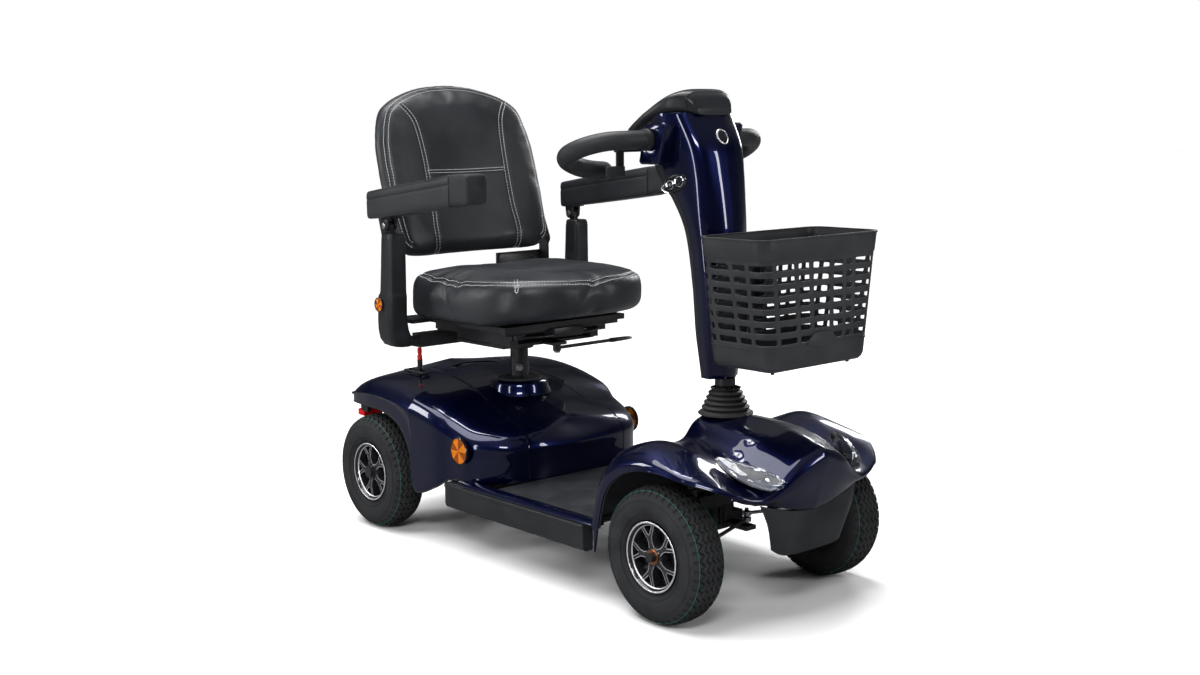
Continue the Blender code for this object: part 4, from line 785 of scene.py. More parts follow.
def build_rim(name, centre, outward, body, front):
    barrel = [
        (0.0645, 0.0338), (0.0650, 0.0325), (0.0648, 0.0290), (0.0608, 0.0278), (0.0606, 0.0), (0.0608, -0.0278),
        (0.0648, -0.0290), (0.0650, -0.0325), (0.0640, -0.0338), (0.0600, -0.0335), (0.0580, -0.0270), (0.0568, 0.0),
        (0.0562, 0.0150), (0.0572, 0.0230), (0.0592, 0.0300), (0.0620, 0.0336),
    ]
    pieces = [turned("barrel", barrel, (0, 0, 0), steps=96, closed=True)]
    hub = [
        (0.0092, 0.0286), (0.0165, 0.0286), (0.0180, 0.0270), (0.0200, 0.0215), (0.0215, 0.0130), (0.0215, -0.0170),
        (0.0200, -0.0180), (0.0092, -0.0180),
    ]
    pieces.append(turned("hub", hub, (0, 0, 0), steps=64, closed=True))
    disc = [(0.0205, 0.0035), (0.0575, 0.0035), (0.0575, 0.0000), (0.0205, 0.0000)]
    pieces.append(turned("back_disc", disc, (0, 0, 0), steps=64, closed=True))
    bright = []
    for spoke in range(5):
        turn = Matrix.Rotation(2 * math.pi * spoke / 5 + math.pi / 2, 4, "Z")
        for grow, low, high, group in (
            (-0.0001, 0.006, 0.0230, pieces), (0.0, 0.0226, 0.0236, bright), (-0.0013, 0.0230, 0.0240, pieces),
        ):
            arm = slab("spoke", spoke_outline(grow), "XY", low, high)
            for vertex in arm.data.vertices:
                if vertex.co.z > 0.02:
                    vertex.co.z += 0.0035 - 0.0015 * min(1, max(0, (vertex.co.x - 0.02) / 0.036)) ** 2
            arm.data.transform(turn)
            group.append(arm)
    bright.append(turned("lip", [
        (0.0640, 0.0343), (0.0650, 0.0338), (0.0640, 0.0332), (0.0622, 0.0330), (0.0618, 0.0338), (0.0628, 0.0343),
    ], (0, 0, 0), steps=96, closed=True))
    bright.append(turned("window_ring", [(0.0566, 0.0262), (0.0590, 0.0280), (0.0596, 0.0274), (0.0572, 0.0254)],
                         (0, 0, 0), steps=96, closed=True))
    add(placed(joined(f"{name}_rim_body", pieces), centre, outward), RIM_PAINT, body, f"{name}_rim", 30)
    add(placed(joined(f"{name}_rim_machined_edges", bright), centre, outward), SILVER, body, (), 30, "alloy_rim")

    bolts = []
    for spoke in range(5):
        angle = 2 * math.pi * (spoke + 0.5) / 5 + math.pi / 2
        at = Vector((0.036 * math.cos(angle), 0.036 * math.sin(angle), 0))
        head = rod("bolt", at + Z_AXIS * 0.0036, at + Z_AXIS * 0.0080, 0.0042, 6)
        bolts += [bevel(head, 0.0005, 1), rod("washer", at + Z_AXIS * 0.003, at + Z_AXIS * 0.0045, 0.0058, 24)]
    valve_at = Vector((0.0, 0.050, 0.003))
    bolts.append(rod("valve", valve_at, valve_at + Vector((0, -0.008, 0.016)), 0.0026, 16, 0.0020))
    add(placed(joined(f"{name}_rim_bolts", bolts), centre, outward), ZINC, body, (), 30)
    if front:
        collar = [(0.0092, 0.0283), (0.0092, 0.0308), (0.0135, 0.0308), (0.0143, 0.0300), (0.0143, 0.0283)]
        add(placed(turned(f"{name}_hub_collar", collar, (0, 0, 0), steps=64, closed=True), centre, outward),
            COPPER, body)
    cap = [(0.0, 0.0390), (0.0058, 0.0388), (0.0070, 0.0376), (0.0074, 0.0300), (0.0086, 0.0296), (0.0086, 0.0284)]
    flat = [(0.0, 0.0336), (0.0120, 0.0334), (0.0150, 0.0322), (0.0160, 0.0290), (0.0160, 0.0284)]
    cap_piece = turned(f"{name}_hub_cap", cap if front else flat, (0, 0, 0), steps=48)
    add(placed(cap_piece, centre, outward), GLOSS, body)


def build_wheels():
    for position, track in TRACKS.items():
        y = -HALF_WHEELBASE if position == "front" else HALF_WHEELBASE
        for side, word in SIDES:
            centre = Vector((side * track, y, TYRE_RADIUS))
            body = f"{position}_wheel_{word}"
            build_tyre(f"{position}_{word}", centre, side, body)
            build_rim(f"{position}_{word}", centre, side, body, position == "front")


# ---- bodywork ----------------------------------------------------------------------------------------------

COWL_TOP = [  # height of the middle line along y
    (0.02, 0.262), (0.09, 0.282), (0.20, 0.312), (0.30, 0.333), (0.40, 0.347), (0.50, 0.350), (0.56, 0.330),
    (0.62, 0.305),
]
COWL_EDGE = [  # plan x and y, bottom edge z, shoulder z, and the y where the panel meets the middle line
    (0.000, 0.030, 0.156, 0.258, 0.080), (0.100, 0.034, 0.156, 0.258, 0.095), (0.164, 0.052, 0.156, 0.258, 0.120),
    (0.200, 0.084, 0.155, 0.262, 0.150), (0.226, 0.126, 0.153, 0.266, 0.190), (0.236, 0.182, 0.152, 0.284, 0.230),
    (0.247, 0.222, 0.130, 0.303, 0.265), (0.253, 0.290, 0.112, 0.318, 0.310), (0.254, 0.306, 0.196, 0.322, 0.330),
    (0.254, 0.345, 0.249, 0.328, 0.360), (0.253, 0.410, 0.270, 0.333, 0.410), (0.250, 0.490, 0.273, 0.330, 0.460),
    (0.236, 0.556, 0.272, 0.312, 0.500), (0.180, 0.588, 0.272, 0.303, 0.520), (0.090, 0.598, 0.272, 0.301, 0.530),
    (0.000, 0.600, 0.272, 0.300, 0.535),
]
COVER_OUTLINE = [(0.128, 0.000), (0.128, 0.090), (0.108, 0.260), (0.096, 0.430), (0.080, 0.446), (0.0, 0.448)]
SEAM = 0.0015
POST_Y = 0.2375
BOLT_WAY = Vector((-0.6, -0.8, 0))
LEVER_X, LEVER_Y, LEVER_Z = -0.150, 0.408, 0.300
SHROUD_NET = [  # rows from the heel of the shroud to its nose, each from the middle line out to the lower edge
    [(0, -0.346, 0.288), (0.050, -0.343, 0.287), (0.085, -0.338, 0.285), (0.125, -0.332, 0.281),
     (0.185, -0.318, 0.268), (0.222, -0.309, 0.238), (0.250, -0.306, 0.180), (0.253, -0.310, 0.106)],
    [(0, -0.357, 0.297), (0.050, -0.355, 0.295), (0.082, -0.350, 0.292), (0.125, -0.346, 0.291),
     (0.185, -0.338, 0.292), (0.224, -0.331, 0.278), (0.249, -0.328, 0.245), (0.253, -0.336, 0.212)],
    [(0, -0.361, 0.342), (0.048, -0.367, 0.331), (0.075, -0.371, 0.303), (0.122, -0.374, 0.299),
     (0.188, -0.371, 0.309), (0.224, -0.368, 0.304), (0.248, -0.366, 0.280), (0.252, -0.370, 0.257)],
    [(0, -0.415, 0.346), (0.056, -0.418, 0.335), (0.086, -0.420, 0.309), (0.124, -0.420, 0.306),
     (0.184, -0.420, 0.322), (0.219, -0.420, 0.317), (0.246, -0.420, 0.297), (0.251, -0.420, 0.279)],
    [(0, -0.480, 0.348), (0.060, -0.480, 0.333), (0.094, -0.480, 0.308), (0.130, -0.480, 0.300),
     (0.178, -0.480, 0.312), (0.213, -0.480, 0.309), (0.243, -0.480, 0.296), (0.250, -0.480, 0.283)],
    [(0, -0.545, 0.342), (0.062, -0.545, 0.326), (0.100, -0.543, 0.296), (0.134, -0.540, 0.281),
     (0.172, -0.540, 0.285), (0.206, -0.540, 0.290), (0.238, -0.538, 0.286), (0.247, -0.536, 0.277)],
    [(0, -0.612, 0.326), (0.060, -0.608, 0.306), (0.100, -0.600, 0.273), (0.135, -0.592, 0.257),
     (0.168, -0.585, 0.260), (0.196, -0.581, 0.269), (0.217, -0.577, 0.272), (0.225, -0.574, 0.268)],
    [(0, -0.649, 0.302), (0.055, -0.643, 0.281), (0.095, -0.633, 0.256), (0.125, -0.625, 0.243),
     (0.152, -0.618, 0.244), (0.172, -0.613, 0.250), (0.187, -0.608, 0.256), (0.194, -0.604, 0.254)],
    [(0, -0.622, 0.205), (0.050, -0.621, 0.212), (0.090, -0.619, 0.223), (0.120, -0.616, 0.231),
     (0.146, -0.612, 0.236), (0.167, -0.607, 0.241), (0.182, -0.602, 0.247), (0.190, -0.598, 0.249)],
]
STEERING_Y = -0.401
HEADLIGHT_OUTLINE = [  # leaf shape on the front of the shroud: x, y, z from its lower tip round
    (0.074, -0.6310, 0.2530), (0.095, -0.6240, 0.2730), (0.120, -0.5980, 0.2900), (0.146, -0.5500, 0.3030),
    (0.158, -0.5250, 0.3040), (0.160, -0.5560, 0.2850), (0.149, -0.5950, 0.2670), (0.116, -0.6240, 0.2540),
]


def cowl_sections():
    """Rear cowl net: one row for each point of its plan outline, from the bottom edge up and in to the middle."""
    edge = np.array(COWL_EDGE)
    heights = np.array(COWL_TOP)
    rows = []
    for x, y, low, shoulder, middle_y in edge:
        inward = np.array((0 - x, middle_y - y))
        inward /= max(np.linalg.norm(inward), 1e-6)
        step = 0.030 * inward
        wall = shoulder - low
        centre = np.array((0, middle_y, np.interp(middle_y, heights[:, 0], heights[:, 1])))
        lip = np.array((x + step[0], y + step[1], shoulder))
        rows.append([
            (x, y, low), (x, y, low + 0.45 * wall), (x, y, shoulder - min(0.027, 0.5 * wall)), lip,
            0.62 * lip + 0.38 * centre + (0, 0, 0.004), 0.28 * lip + 0.72 * centre + (0, 0, 0.002), centre,
        ])
    return rows


def cover_prism(name, grow):
    outline = [(x + grow if x else x, y + (grow if y > 0.4 else 0)) for x, y in COVER_OUTLINE]
    whole = list(outline) + [(-x, y) for x, y in reversed(outline) if x]
    return slab(name, whole, "XY", 0.10, 0.45)


def bolt_notch():
    """Room in the battery cover's bore for the seat post's clamp bolt, which the cover passes as it lifts."""
    aside = BOLT_WAY.cross(Z_AXIS) * 0.0086
    post = Vector((0, POST_Y, 0))
    corners = [post + BOLT_WAY * reach + aside * turn for reach, turn in ((0, 1), (0.034, 1), (0.034, -1), (0, -1))]
    return slab("bolt_notch", [(corner.x, corner.y) for corner in corners], "XY", 0.28, 0.36)


def build_rear_body():
    sections = cowl_sections()
    cowl = panel("rear_cowl_panel", sections, 92, 34, 0.003)
    slot = box("lever_slot", (LEVER_X - 0.008, LEVER_Y - 0.020, 0.30), (LEVER_X + 0.008, LEVER_Y + 0.044, 0.40))
    cut(cowl, cover_prism("cover_opening", SEAM), slot)
    bevel(cowl, 0.0007, 2, 40)
    add(cowl, PAINT, "chassis", "rear_cowl", 40)

    cover = panel("battery_cover_panel", sections, 92, 34, 0.003)
    cut(cover, cover_prism("cover_shape", 0), operation="INTERSECT")
    boss = turned("post_boss", [
        (0.0150, 0.3360), (0.0490, 0.3368), (0.0545, 0.3362), (0.0590, 0.3340), (0.0618, 0.3300), (0.0635, 0.3230),
        (0.0655, 0.3150), (0.0680, 0.3090), (0.0700, 0.3050), (0.0150, 0.3050),
    ], (0, POST_Y, 0), steps=96, closed=True)
    cut(cover, boss, operation="UNION")
    hole = rod("post_hole", (0, POST_Y, 0.2), (0, POST_Y, 0.4), 0.0216, 64)
    recess = slab("handle_recess", handle_outline(0), "XY", 0.3375, 0.40)
    cut(cover, hole, recess, bolt_notch())
    bevel(cover, 0.0007, 2, 40)
    add(cover, PAINT, "battery_cover", "battery_cover", 40)

    top = turned("boss_rubber", [
        (0.0222, 0.3366), (0.0225, 0.3400), (0.0245, 0.3412), (0.0470, 0.3400), (0.0492, 0.3388), (0.0498, 0.3366),
        (0.0470, 0.3355), (0.0240, 0.3355),
    ], (0, POST_Y, 0), steps=96, closed=True)
    cut(top, bolt_notch())
    add(top, BOOT, "battery_cover")
    add(slab("handle_well", handle_outline(-0.0012), "XY", 0.3330, 0.3372), GLOSS, "battery_cover")

    ring = rod("post_washer", (0, POST_Y, 0.3414), (0, POST_Y, 0.3432), 0.0245, 64)
    cut(ring, rod("bore", (0, POST_Y, 0.3), (0, POST_Y, 0.4), 0.0216, 64), bolt_notch())
    add(ring, POWDER, "battery_cover", (), 30)
    out = BOLT_WAY
    collar = turned("post_collar", [(0.0203, -0.010), (0.0212, -0.0094), (0.0212, 0.0094), (0.0203, 0.010)],
                    (0, POST_Y, 0.362), steps=64, closed=True)
    seat = Vector((0, POST_Y, 0.362)) + out * 0.0212
    bolt = [
        bevel(rod("bolt_head", seat, seat + out * 0.0060, 0.0062, 6), 0.0006, 1),
        rod("bolt_washer", seat - out * 0.001, seat + out * 0.0014, 0.0076, 32),
        rod("bolt_end", seat + out * 0.005, seat + out * 0.0090, 0.0032, 24),
    ]
    add(joined("post_clamp_bolt", bolt), ZINC, "chassis", (), 30)
    collar.name = "post_clamp_collar"
    add(collar, POWDER, "chassis", (), 30)

    for side, word in SIDES:
        build_reflector(f"side_reflector_{word}", Vector((side * 0.2360, 0.140, 0.222)), Vector((side, 0, 0)), 0.029,
                        "chassis", f"side_reflector_{word}")
        lamp = rounded_box(f"tail_lamp_{word}", (side * 0.190 - 0.026, 0.5450, 0.234),
                           (side * 0.190 + 0.026, 0.5730, 0.2500), 0.004, 4)
        add(lamp, RED, "chassis", f"tail_light_{word}")

    lever = [
        turned("lever_stem", [(0.0, -0.012), (0.0035, -0.012), (0.0035, 0.040), (0.0052, 0.044), (0.0060, 0.060),
                              (0.0060, 0.0745), (0.0, 0.0745)], (LEVER_X, LEVER_Y, LEVER_Z), steps=32),
        rod("lever_hub", (LEVER_X - 0.006, LEVER_Y, LEVER_Z), (LEVER_X + 0.006, LEVER_Y, LEVER_Z), 0.009, 32),
    ]
    add(joined("freewheel_stem", lever), GLOSS, "freewheel", "freewheel_lever")
    tip = turned("freewheel_tip", [
        (0.0, 0.1020), (0.0040, 0.1015), (0.0052, 0.0990), (0.0052, 0.0900), (0.0044, 0.0880), (0.0044, 0.0860),
        (0.0058, 0.0845), (0.0058, 0.0745), (0.0, 0.0745),
    ], (LEVER_X, LEVER_Y, LEVER_Z), steps=32)
    add(tip, RED_PLASTIC, "freewheel")
    gate = rounded_box("freewheel_gate", (LEVER_X - 0.0125, LEVER_Y - 0.026, 0.3440),
                       (LEVER_X + 0.0125, LEVER_Y + 0.050, 0.3495), 0.003, 3)
    cut(gate, box("gate_slot", (LEVER_X - 0.0075, LEVER_Y - 0.020, 0.3), (LEVER_X + 0.0075, LEVER_Y + 0.044, 0.4)))
    add(gate, PLASTIC, "chassis")

    line = spline([(0.2345, 0.500, 0), (0.2225, 0.5465, 0), (0.172, 0.5765, 0), (0.090, 0.5875, 0),
                   (0, 0.5895, 0)], 40)
    half = [Vector(point) for point in line]
    whole = half + [Vector((-p.x, p.y, 0)) for p in reversed(half[:-1])]
    rings = []
    for i, point in enumerate(whole):
        after, before = whole[min(i + 1, len(whole) - 1)], whole[max(i - 1, 0)]
        normal = (after - before).cross(Z_AXIS).normalized() * -1
        rings.append([point + normal * u + Z_AXIS * z for u, z in (
            (0.000, 0.2525), (0.003, 0.2515), (0.0075, 0.2535), (0.0095, 0.2580), (0.0095, 0.2650), (0.0070, 0.2695),
            (0.002, 0.2705), (0.000, 0.2700))])
    add(loft("rear_bumper_strip", rings), PLASTIC, "chassis", "rear_bumper", 40)


def handle_outline(grow):
    """The arched finger slot behind the seat post, in plan."""
    outer = [(-0.060 - grow, 0.392), (-0.054 - grow, 0.424 + grow), (0, 0.434 + grow), (0.054 + grow, 0.424 + grow),
             (0.060 + grow, 0.392)]
    inner = [(0.050 - grow, 0.392), (0.046 - grow, 0.408 - grow), (0, 0.416 - grow), (-0.046 + grow, 0.408 - grow),
             (-0.050 + grow, 0.392)]
    return [tuple(p) for p in spline(outer, 25)] + [tuple(p) for p in spline(inner, 25)]


def build_reflector(name, centre, outward, radius, body, node=(), wedges=8):
    """A round amber reflector with raised facets and a black rim. Every other wedge takes a darker copy of the amber
    lens as painted shade.
    """
    share = radius / 0.029
    rim = turned(f"{name}_rim", [
        (0.0295 * share, 0.0002), (0.0295 * share, 0.0050), (0.0285 * share, 0.0056), (0.0268 * share, 0.0052),
        (0.0262 * share, 0.0002),
    ], centre, outward, 96, closed=True)
    add(rim, GLOSS, body)
    turn = Z_AXIS.rotation_difference(outward).to_matrix()
    # Every other wedge is the darker amber: painted shade on the facets.
    for part, coat, first in (("lens", AMBER, 0), ("painted_shade_facets", SHADED_AMBER, 1)):
        shape = bmesh.new()
        for wedge in range(first, wedges, 2):
            rows = []
            for lift in (0.0052, 0.0016):
                points = [Vector((0, 0, lift))]
                for i in range(7):
                    angle = 2 * math.pi * (wedge + i / 6) / wedges
                    rim_lift = lift - 0.0004 - 0.0010 * math.sin(math.pi * i / 6) * (lift > 0.004)
                    reach = 0.0264 * share
                    points.append(Vector((reach * math.cos(angle), reach * math.sin(angle), rim_lift)))
                rows.append([shape.verts.new(Vector(centre) + turn @ point) for point in points])
            top, low = rows
            for i in range(1, 7):
                shape.faces.new((top[0], top[i], top[i + 1]))
                shape.faces.new((low[0], low[i + 1], low[i]))
                shape.faces.new((top[i], low[i], low[i + 1], top[i + 1]))
            for i in (1, 7):
                shape.faces.new((top[0], low[0], low[i], top[i]))
        bmesh.ops.recalc_face_normals(shape, faces=shape.faces)
        add(from_bmesh(f"{name}_{part}", shape), coat, body, node if first == 0 else (), 5, "amber_reflector")


def headlight_rings(side, steps):
    leaf = [Vector((side * x, y, z)) for x, y, z in HEADLIGHT_OUTLINE]
    closed = spline([leaf[-1], *leaf, leaf[0]], 10 * (len(leaf) + 1) + 1)[10:-10]
    leaf = [Vector(point) for point in closed]
    centre = sum(leaf, Vector()) / len(leaf)
    outward = Vector((side * 0.25, -0.75, 0.45)).normalized()
    return [[centre + (point - centre) * size + outward * depth for point in leaf] for size, depth in steps]


def build_front_body():
    shroud = panel("front_shroud_panel", SHROUD_NET, 70, 60, 0.003, flip=True)
    cutters = [rod("gaiter_hole", (0, STEERING_Y, 0.28), (0, STEERING_Y, 0.40), 0.034, 64)]
    for side in (1, -1):
        cutters.append(loft("headlight_opening", headlight_rings(side, ((0.97, -0.012), (0.97, 0.030)))))
    cut(shroud, *cutters)
    bevel(shroud, 0.0007, 2, 40)
    add(shroud, PAINT, "chassis", "front_shroud", 40)
    for side, word in SIDES:
        bowl = loft(f"headlight_bowl_{word}", headlight_rings(side, (
            (0.98, 0.0065), (0.93, 0.0068), (0.80, -0.004), (0.45, -0.010), (0.40, -0.012), (0.85, -0.008),
            (0.98, 0.002))))
        add(bowl, CHROME, "chassis", (), 25, "headlamp_lens")
        bulbs = []
        base = headlight_rings(side, ((1.0, 0.0),))[0]
        centre = sum(base, Vector()) / len(base)
        outward = Vector((side * 0.25, -0.75, 0.45)).normalized()
        along = (max(base, key=lambda point: (point - centre).length) - centre).normalized()
        for step, size in ((-0.024, 0.0085), (0.0, 0.0100), (0.026, 0.0085)):
            at = centre + along * step - outward * 0.004
            bulbs.append(turned("cup", [
                (0.0, -0.002), (0.25 * size, -0.002), (0.30 * size, 0.002), (0.55 * size, 0.003), (size, 0.008),
                (1.08 * size, 0.008), (0.7 * size, 0.0), (0.0, -0.004)], at, outward, 24))
        add(joined(f"headlight_cups_{word}", bulbs), CHROME, "chassis", (), 20, "headlamp_lens")
        lens_piece = loft(f"headlight_glass_{word}", headlight_rings(side, (
            (0.965, 0.005), (0.99, 0.0072), (0.985, 0.0092), (0.93, 0.0118), (0.75, 0.0150), (0.45, 0.0172),
            (0.40, 0.0158), (0.72, 0.0136), (0.90, 0.0104), (0.955, 0.0078))), caps=True)
        add(lens_piece, CLEAR, "chassis", f"headlight_{word}", 40)

    top = spline([(0, -0.616, 0.202), (0.055, -0.615, 0.208), (0.100, -0.613, 0.220), (0.128, -0.608, 0.229)], 30)
    low = spline([(0, -0.615, 0.127), (0.040, -0.6145, 0.127), (0.074, -0.612, 0.130), (0.093, -0.603, 0.142)], 30)
    rows = [[tuple(a), tuple(0.55 * a + 0.45 * b + (0, -0.006, 0)), tuple(b)] for a, b in zip(top, low)]
    valance = panel("front_bumper_valance", rows, 30, 20, 0.004)
    bevel(valance, 0.0012, 3, 40)
    add(valance, SATIN_PLASTIC, "chassis", "front_bumper", 40)

    arches = []
    for side in (1, -1):
        edge = [row[-1] for row in spline(SHROUD_NET, 40)]
        points = [Vector((side * (x - 0.0016), y, z + 0.0012)) for x, y, z in edge[2:-3]]
        arches.append(tube("arch_bead", points, 0.0022, 10))
        edge = [(x, y, low) for x, y, low, *_ in spline(COWL_EDGE, 60)]
        points = [Vector((side * (x - 0.0016), y, z + 0.0012)) for x, y, z in edge[18:54]]
        arches.append(tube("arch_bead", points, 0.0022, 10))
    add(joined("wheel_arch_beads", arches), PLASTIC, "chassis", (), 40)


def build_sills_and_floor():
    for side, word in SIDES:
        x_in, x_out = 0.2225, 0.2500
        section = [(x_in, 0.0975), (x_in, 0.1500), (x_out - 0.004, 0.1500), (x_out - 0.0005, 0.1470),
                   (x_out, 0.1420), (x_out - 0.0022, 0.1385), (x_out - 0.0018, 0.1060), (x_out - 0.0040, 0.0985),
                   (x_out - 0.009, 0.0955), (x_in + 0.004, 0.0955)]
        rings = [[Vector((side * x, y, z)) for x, z in section] for y in np.linspace(-0.268, 0.183, 24)]
        sill = bevel(loft(f"sill_trim_panel_{word}", rings), 0.0012, 3, 30)
        add(sill, SATIN_PLASTIC, "chassis", f"sill_trim_{word}", 40)
        strip_section = [(0.2215, 0.1502), (0.2215, 0.1560), (0.2250, 0.1588), (0.2400, 0.1590), (0.2460, 0.1575),
                         (0.2490, 0.1540), (0.2492, 0.1502)]
        rings = [[Vector((side * x, y, z)) for x, z in strip_section] for y in np.linspace(-0.300, 0.120, 30)]
        strip = bevel(loft(f"sill_strip_{word}", rings), 0.0008, 2, 30)
        add(strip, PAINT, "chassis", (), 40)

    profile = [
        (0.030, 0.1545), (-0.262, 0.1545), (-0.280, 0.159), (-0.291, 0.185), (-0.304, 0.215), (-0.326, 0.255),
        (-0.336, 0.272),
    ]
    strips = [[(-0.2205, y, z), (0.2205, y, z)] for y, z in profile]
    floor = panel("floor_pan_mat", strips, 60, 40, 0.004, mirror=False, flip=True)
    bevel(floor, 0.001, 2, 40)
    add(floor, MAT, "chassis", "floor_pan", 40)
    studs = []
    for x in (-0.150, -0.050, 0.050, 0.150):
        for y in (-0.020, -0.130, -0.235):
            studs.append(turned("stud", [(0.0, 0.0024), (0.0040, 0.0022), (0.0075, 0.0010), (0.0085, -0.0005)],
                                (x, y, 0.1545), steps=24))
    add(joined("floor_mat_studs", studs), MAT, "chassis", (), 40)


# ---- tiller, handlebar and basket --------------------------------------------------------------------------

TILLER_SECTIONS = [  # z, front y, rear y, half width
    (0.416, -0.412, -0.371, 0.036), (0.500, -0.420, -0.362, 0.044), (0.590, -0.425, -0.360, 0.051),
    (0.690, -0.421, -0.348, 0.058), (0.750, -0.415, -0.318, 0.062), (0.800, -0.408, -0.278, 0.066),
    (0.850, -0.398, -0.262, 0.070), (0.905, -0.371, -0.250, 0.073),
]
TILLER_CREST = (0.9115, -0.3685, -0.2480, 0.0725)
SEAM_SHARE = 0.80
CONSOLE_SECTIONS = [  # y, low z, high z, half width
    (-0.3740, 0.9075, 0.9210, 0.044), (-0.3640, 0.9070, 0.9440, 0.053), (-0.3450, 0.9065, 0.9565, 0.064),
    (-0.3150, 0.9065, 0.9490, 0.077), (-0.2700, 0.8950, 0.9230, 0.081), (-0.2360, 0.8750, 0.9040, 0.079),
    (-0.2140, 0.8680, 0.8900, 0.074),
]
HANDLEBAR_HALF = [
    (0.080, -0.300, 0.864), (0.150, -0.299, 0.864), (0.192, -0.284, 0.862), (0.222, -0.258, 0.853),
    (0.2335, -0.228, 0.840), (0.221, -0.207, 0.828), (0.188, -0.200, 0.815), (0.150, -0.200, 0.808),
    (0.108, -0.203, 0.805),
]
THROTTLE_Y = -0.2495


def tiller_shell(name, front):
    rows = []
    for z, front_y, rear_y, half in TILLER_SECTIONS + ([TILLER_CREST] if front else []):
        seam_y = front_y + (rear_y - front_y) * SEAM_SHARE
        if front:
            rows.append([
                (0, front_y, z), (0.42 * half, front_y + 0.003, z), (0.84 * half, front_y + 0.016, z),
                (half, front_y + 0.45 * (rear_y - front_y), z), (0.96 * half, seam_y - 0.0006, z),
            ])
        else:
            rows.append([
                (0, rear_y, z), (0.5 * half, rear_y, z), (0.88 * half, rear_y - 0.2 * (rear_y - seam_y), z),
                (0.95 * half, seam_y + 0.0006, z),
            ])
    return panel(name, rows, 70, 26 if front else 18, 0.0028, flip=not front)


def console_rings(grow=0.0):
    sections = spline(CONSOLE_SECTIONS, 34)
    return [
        rounded_ring((0, y, (low + high) / 2), half + grow, (high - low) / 2 + grow, "XZ", 72, 3.4)
        for y, low, high, half in sections
    ]


def build_tiller():
    front = tiller_shell("tiller_front_panel", True)
    rear = tiller_shell("tiller_rear_panel", False)
    for cover in (front, rear):
        cut(cover, rod("bar_hole", (-0.120, -0.2995, 0.864), (0.120, -0.2995, 0.864), 0.0185, 40))
    cut(rear, box("lever_opening", (-0.0350, -0.330, 0.749), (-0.0250, -0.270, 0.791)))
    for cover in (front, rear):
        bevel(cover, 0.0006, 2, 40)
    applied(front)
    build_badge(front)
    add(front, PAINT, "tiller", "tiller_front_cover", 40)
    add(rear, PLASTIC, "tiller", "tiller_rear_cover", 40)

    console = loft("console_shell", console_rings())
    seam = box("console_seam", (-0.1, -0.3585, 0.86), (0.1, -0.3575, 0.99))
    cut(console, seam)
    add(console, SATIN_PLASTIC, "tiller", "console_housing", 50)
    build_console_face()

    left = spline(HANDLEBAR_HALF, 70)
    line = [(-x, y, z) for x, y, z in left[::-1]] + [tuple(p) for p in left]
    radii = []
    total = len(line)
    for i in range(total):
        end = min(i, total - 1 - i) / 4
        radii.append(0.0175 * math.sqrt(max(0.05, 1 - max(0, 1 - end) ** 2)))
    add(tube("handlebar_grip", line, 0.0175, 40, radii=radii), FOAM, "tiller", "handlebar", 60)
    rims = []
    for side in (1, -1):
        root = Vector((side * 0.1045, -0.300, 0.864))
        rims.append(turned("collar", [(0.0170, -0.002), (0.0198, -0.002), (0.0205, 0.000), (0.0205, 0.005),
                                      (0.0192, 0.008), (0.0170, 0.009)], root, Vector((side, 0, 0)), 64, closed=True))
        rims.append(turned("grip_ring", [(0.0172, 0.0), (0.0186, 0.0), (0.0190, 0.0015), (0.0186, 0.003),
                                         (0.0172, 0.003)],
                                 root + X_AXIS * side * 0.012, X_AXIS * side, 64, closed=True))
    add(joined("handlebar_collars", rims), PLASTIC, "tiller", (), 40)

    saddles = []
    for side in (1, -1):
        shape = []
        for x, grow in ((0.0690, -0.0015), (0.0705, 0.0), (0.0985, 0.0), (0.1015, -0.0010), (0.1030, -0.0035)):
            low, high = 0.8180 - grow, 0.8930 + grow
            front_y, rear_y = -0.3330 - grow, -0.2740 + grow
            lean = 0.016
            corner = 0.0045
            corners = [
                (front_y - lean + corner, high), (front_y - lean, high - corner),
                (front_y + corner * 0.2, low + corner),
                (front_y + corner, low), (rear_y - corner, low), (rear_y, low + corner),
                (rear_y - lean, high - corner), (rear_y - lean - corner, high),
            ]
            shape.append([Vector((side * x, y, z)) for y, z in corners])
        saddle = loft("saddle", shape)
        cut(saddle, rod("bar", (side * 0.05, -0.2997, 0.864), (side * 0.12, -0.2997, 0.864), 0.0182, 48))
        saddles.append(bevel(saddle, 0.0022, 4, 25))
    add(joined("handlebar_saddles", saddles), PAINT, "tiller", (), 40)

    strips = []
    sections = spline(TILLER_SECTIONS, 60)
    for side in (1, -1):
        rings = []
        for z, front_y, rear_y, half in sections[:-6]:
            seam_y = front_y + (rear_y - front_y) * SEAM_SHARE
            x = 0.965 * half
            rings.append([Vector((side * (x + u), seam_y + v, z)) for u, v in (
                (0.0000, -0.0012), (0.0022, -0.0010), (0.0030, 0.0020), (0.0026, 0.0062), (0.0004, 0.0085),
                (-0.002, 0.0080))])
        strips.append(loft("edge_strip", rings))
    add(joined("tiller_edge_strips", strips), PLASTIC, "tiller", (), 40)
    build_sockets()
    build_throttle()
    build_controls()


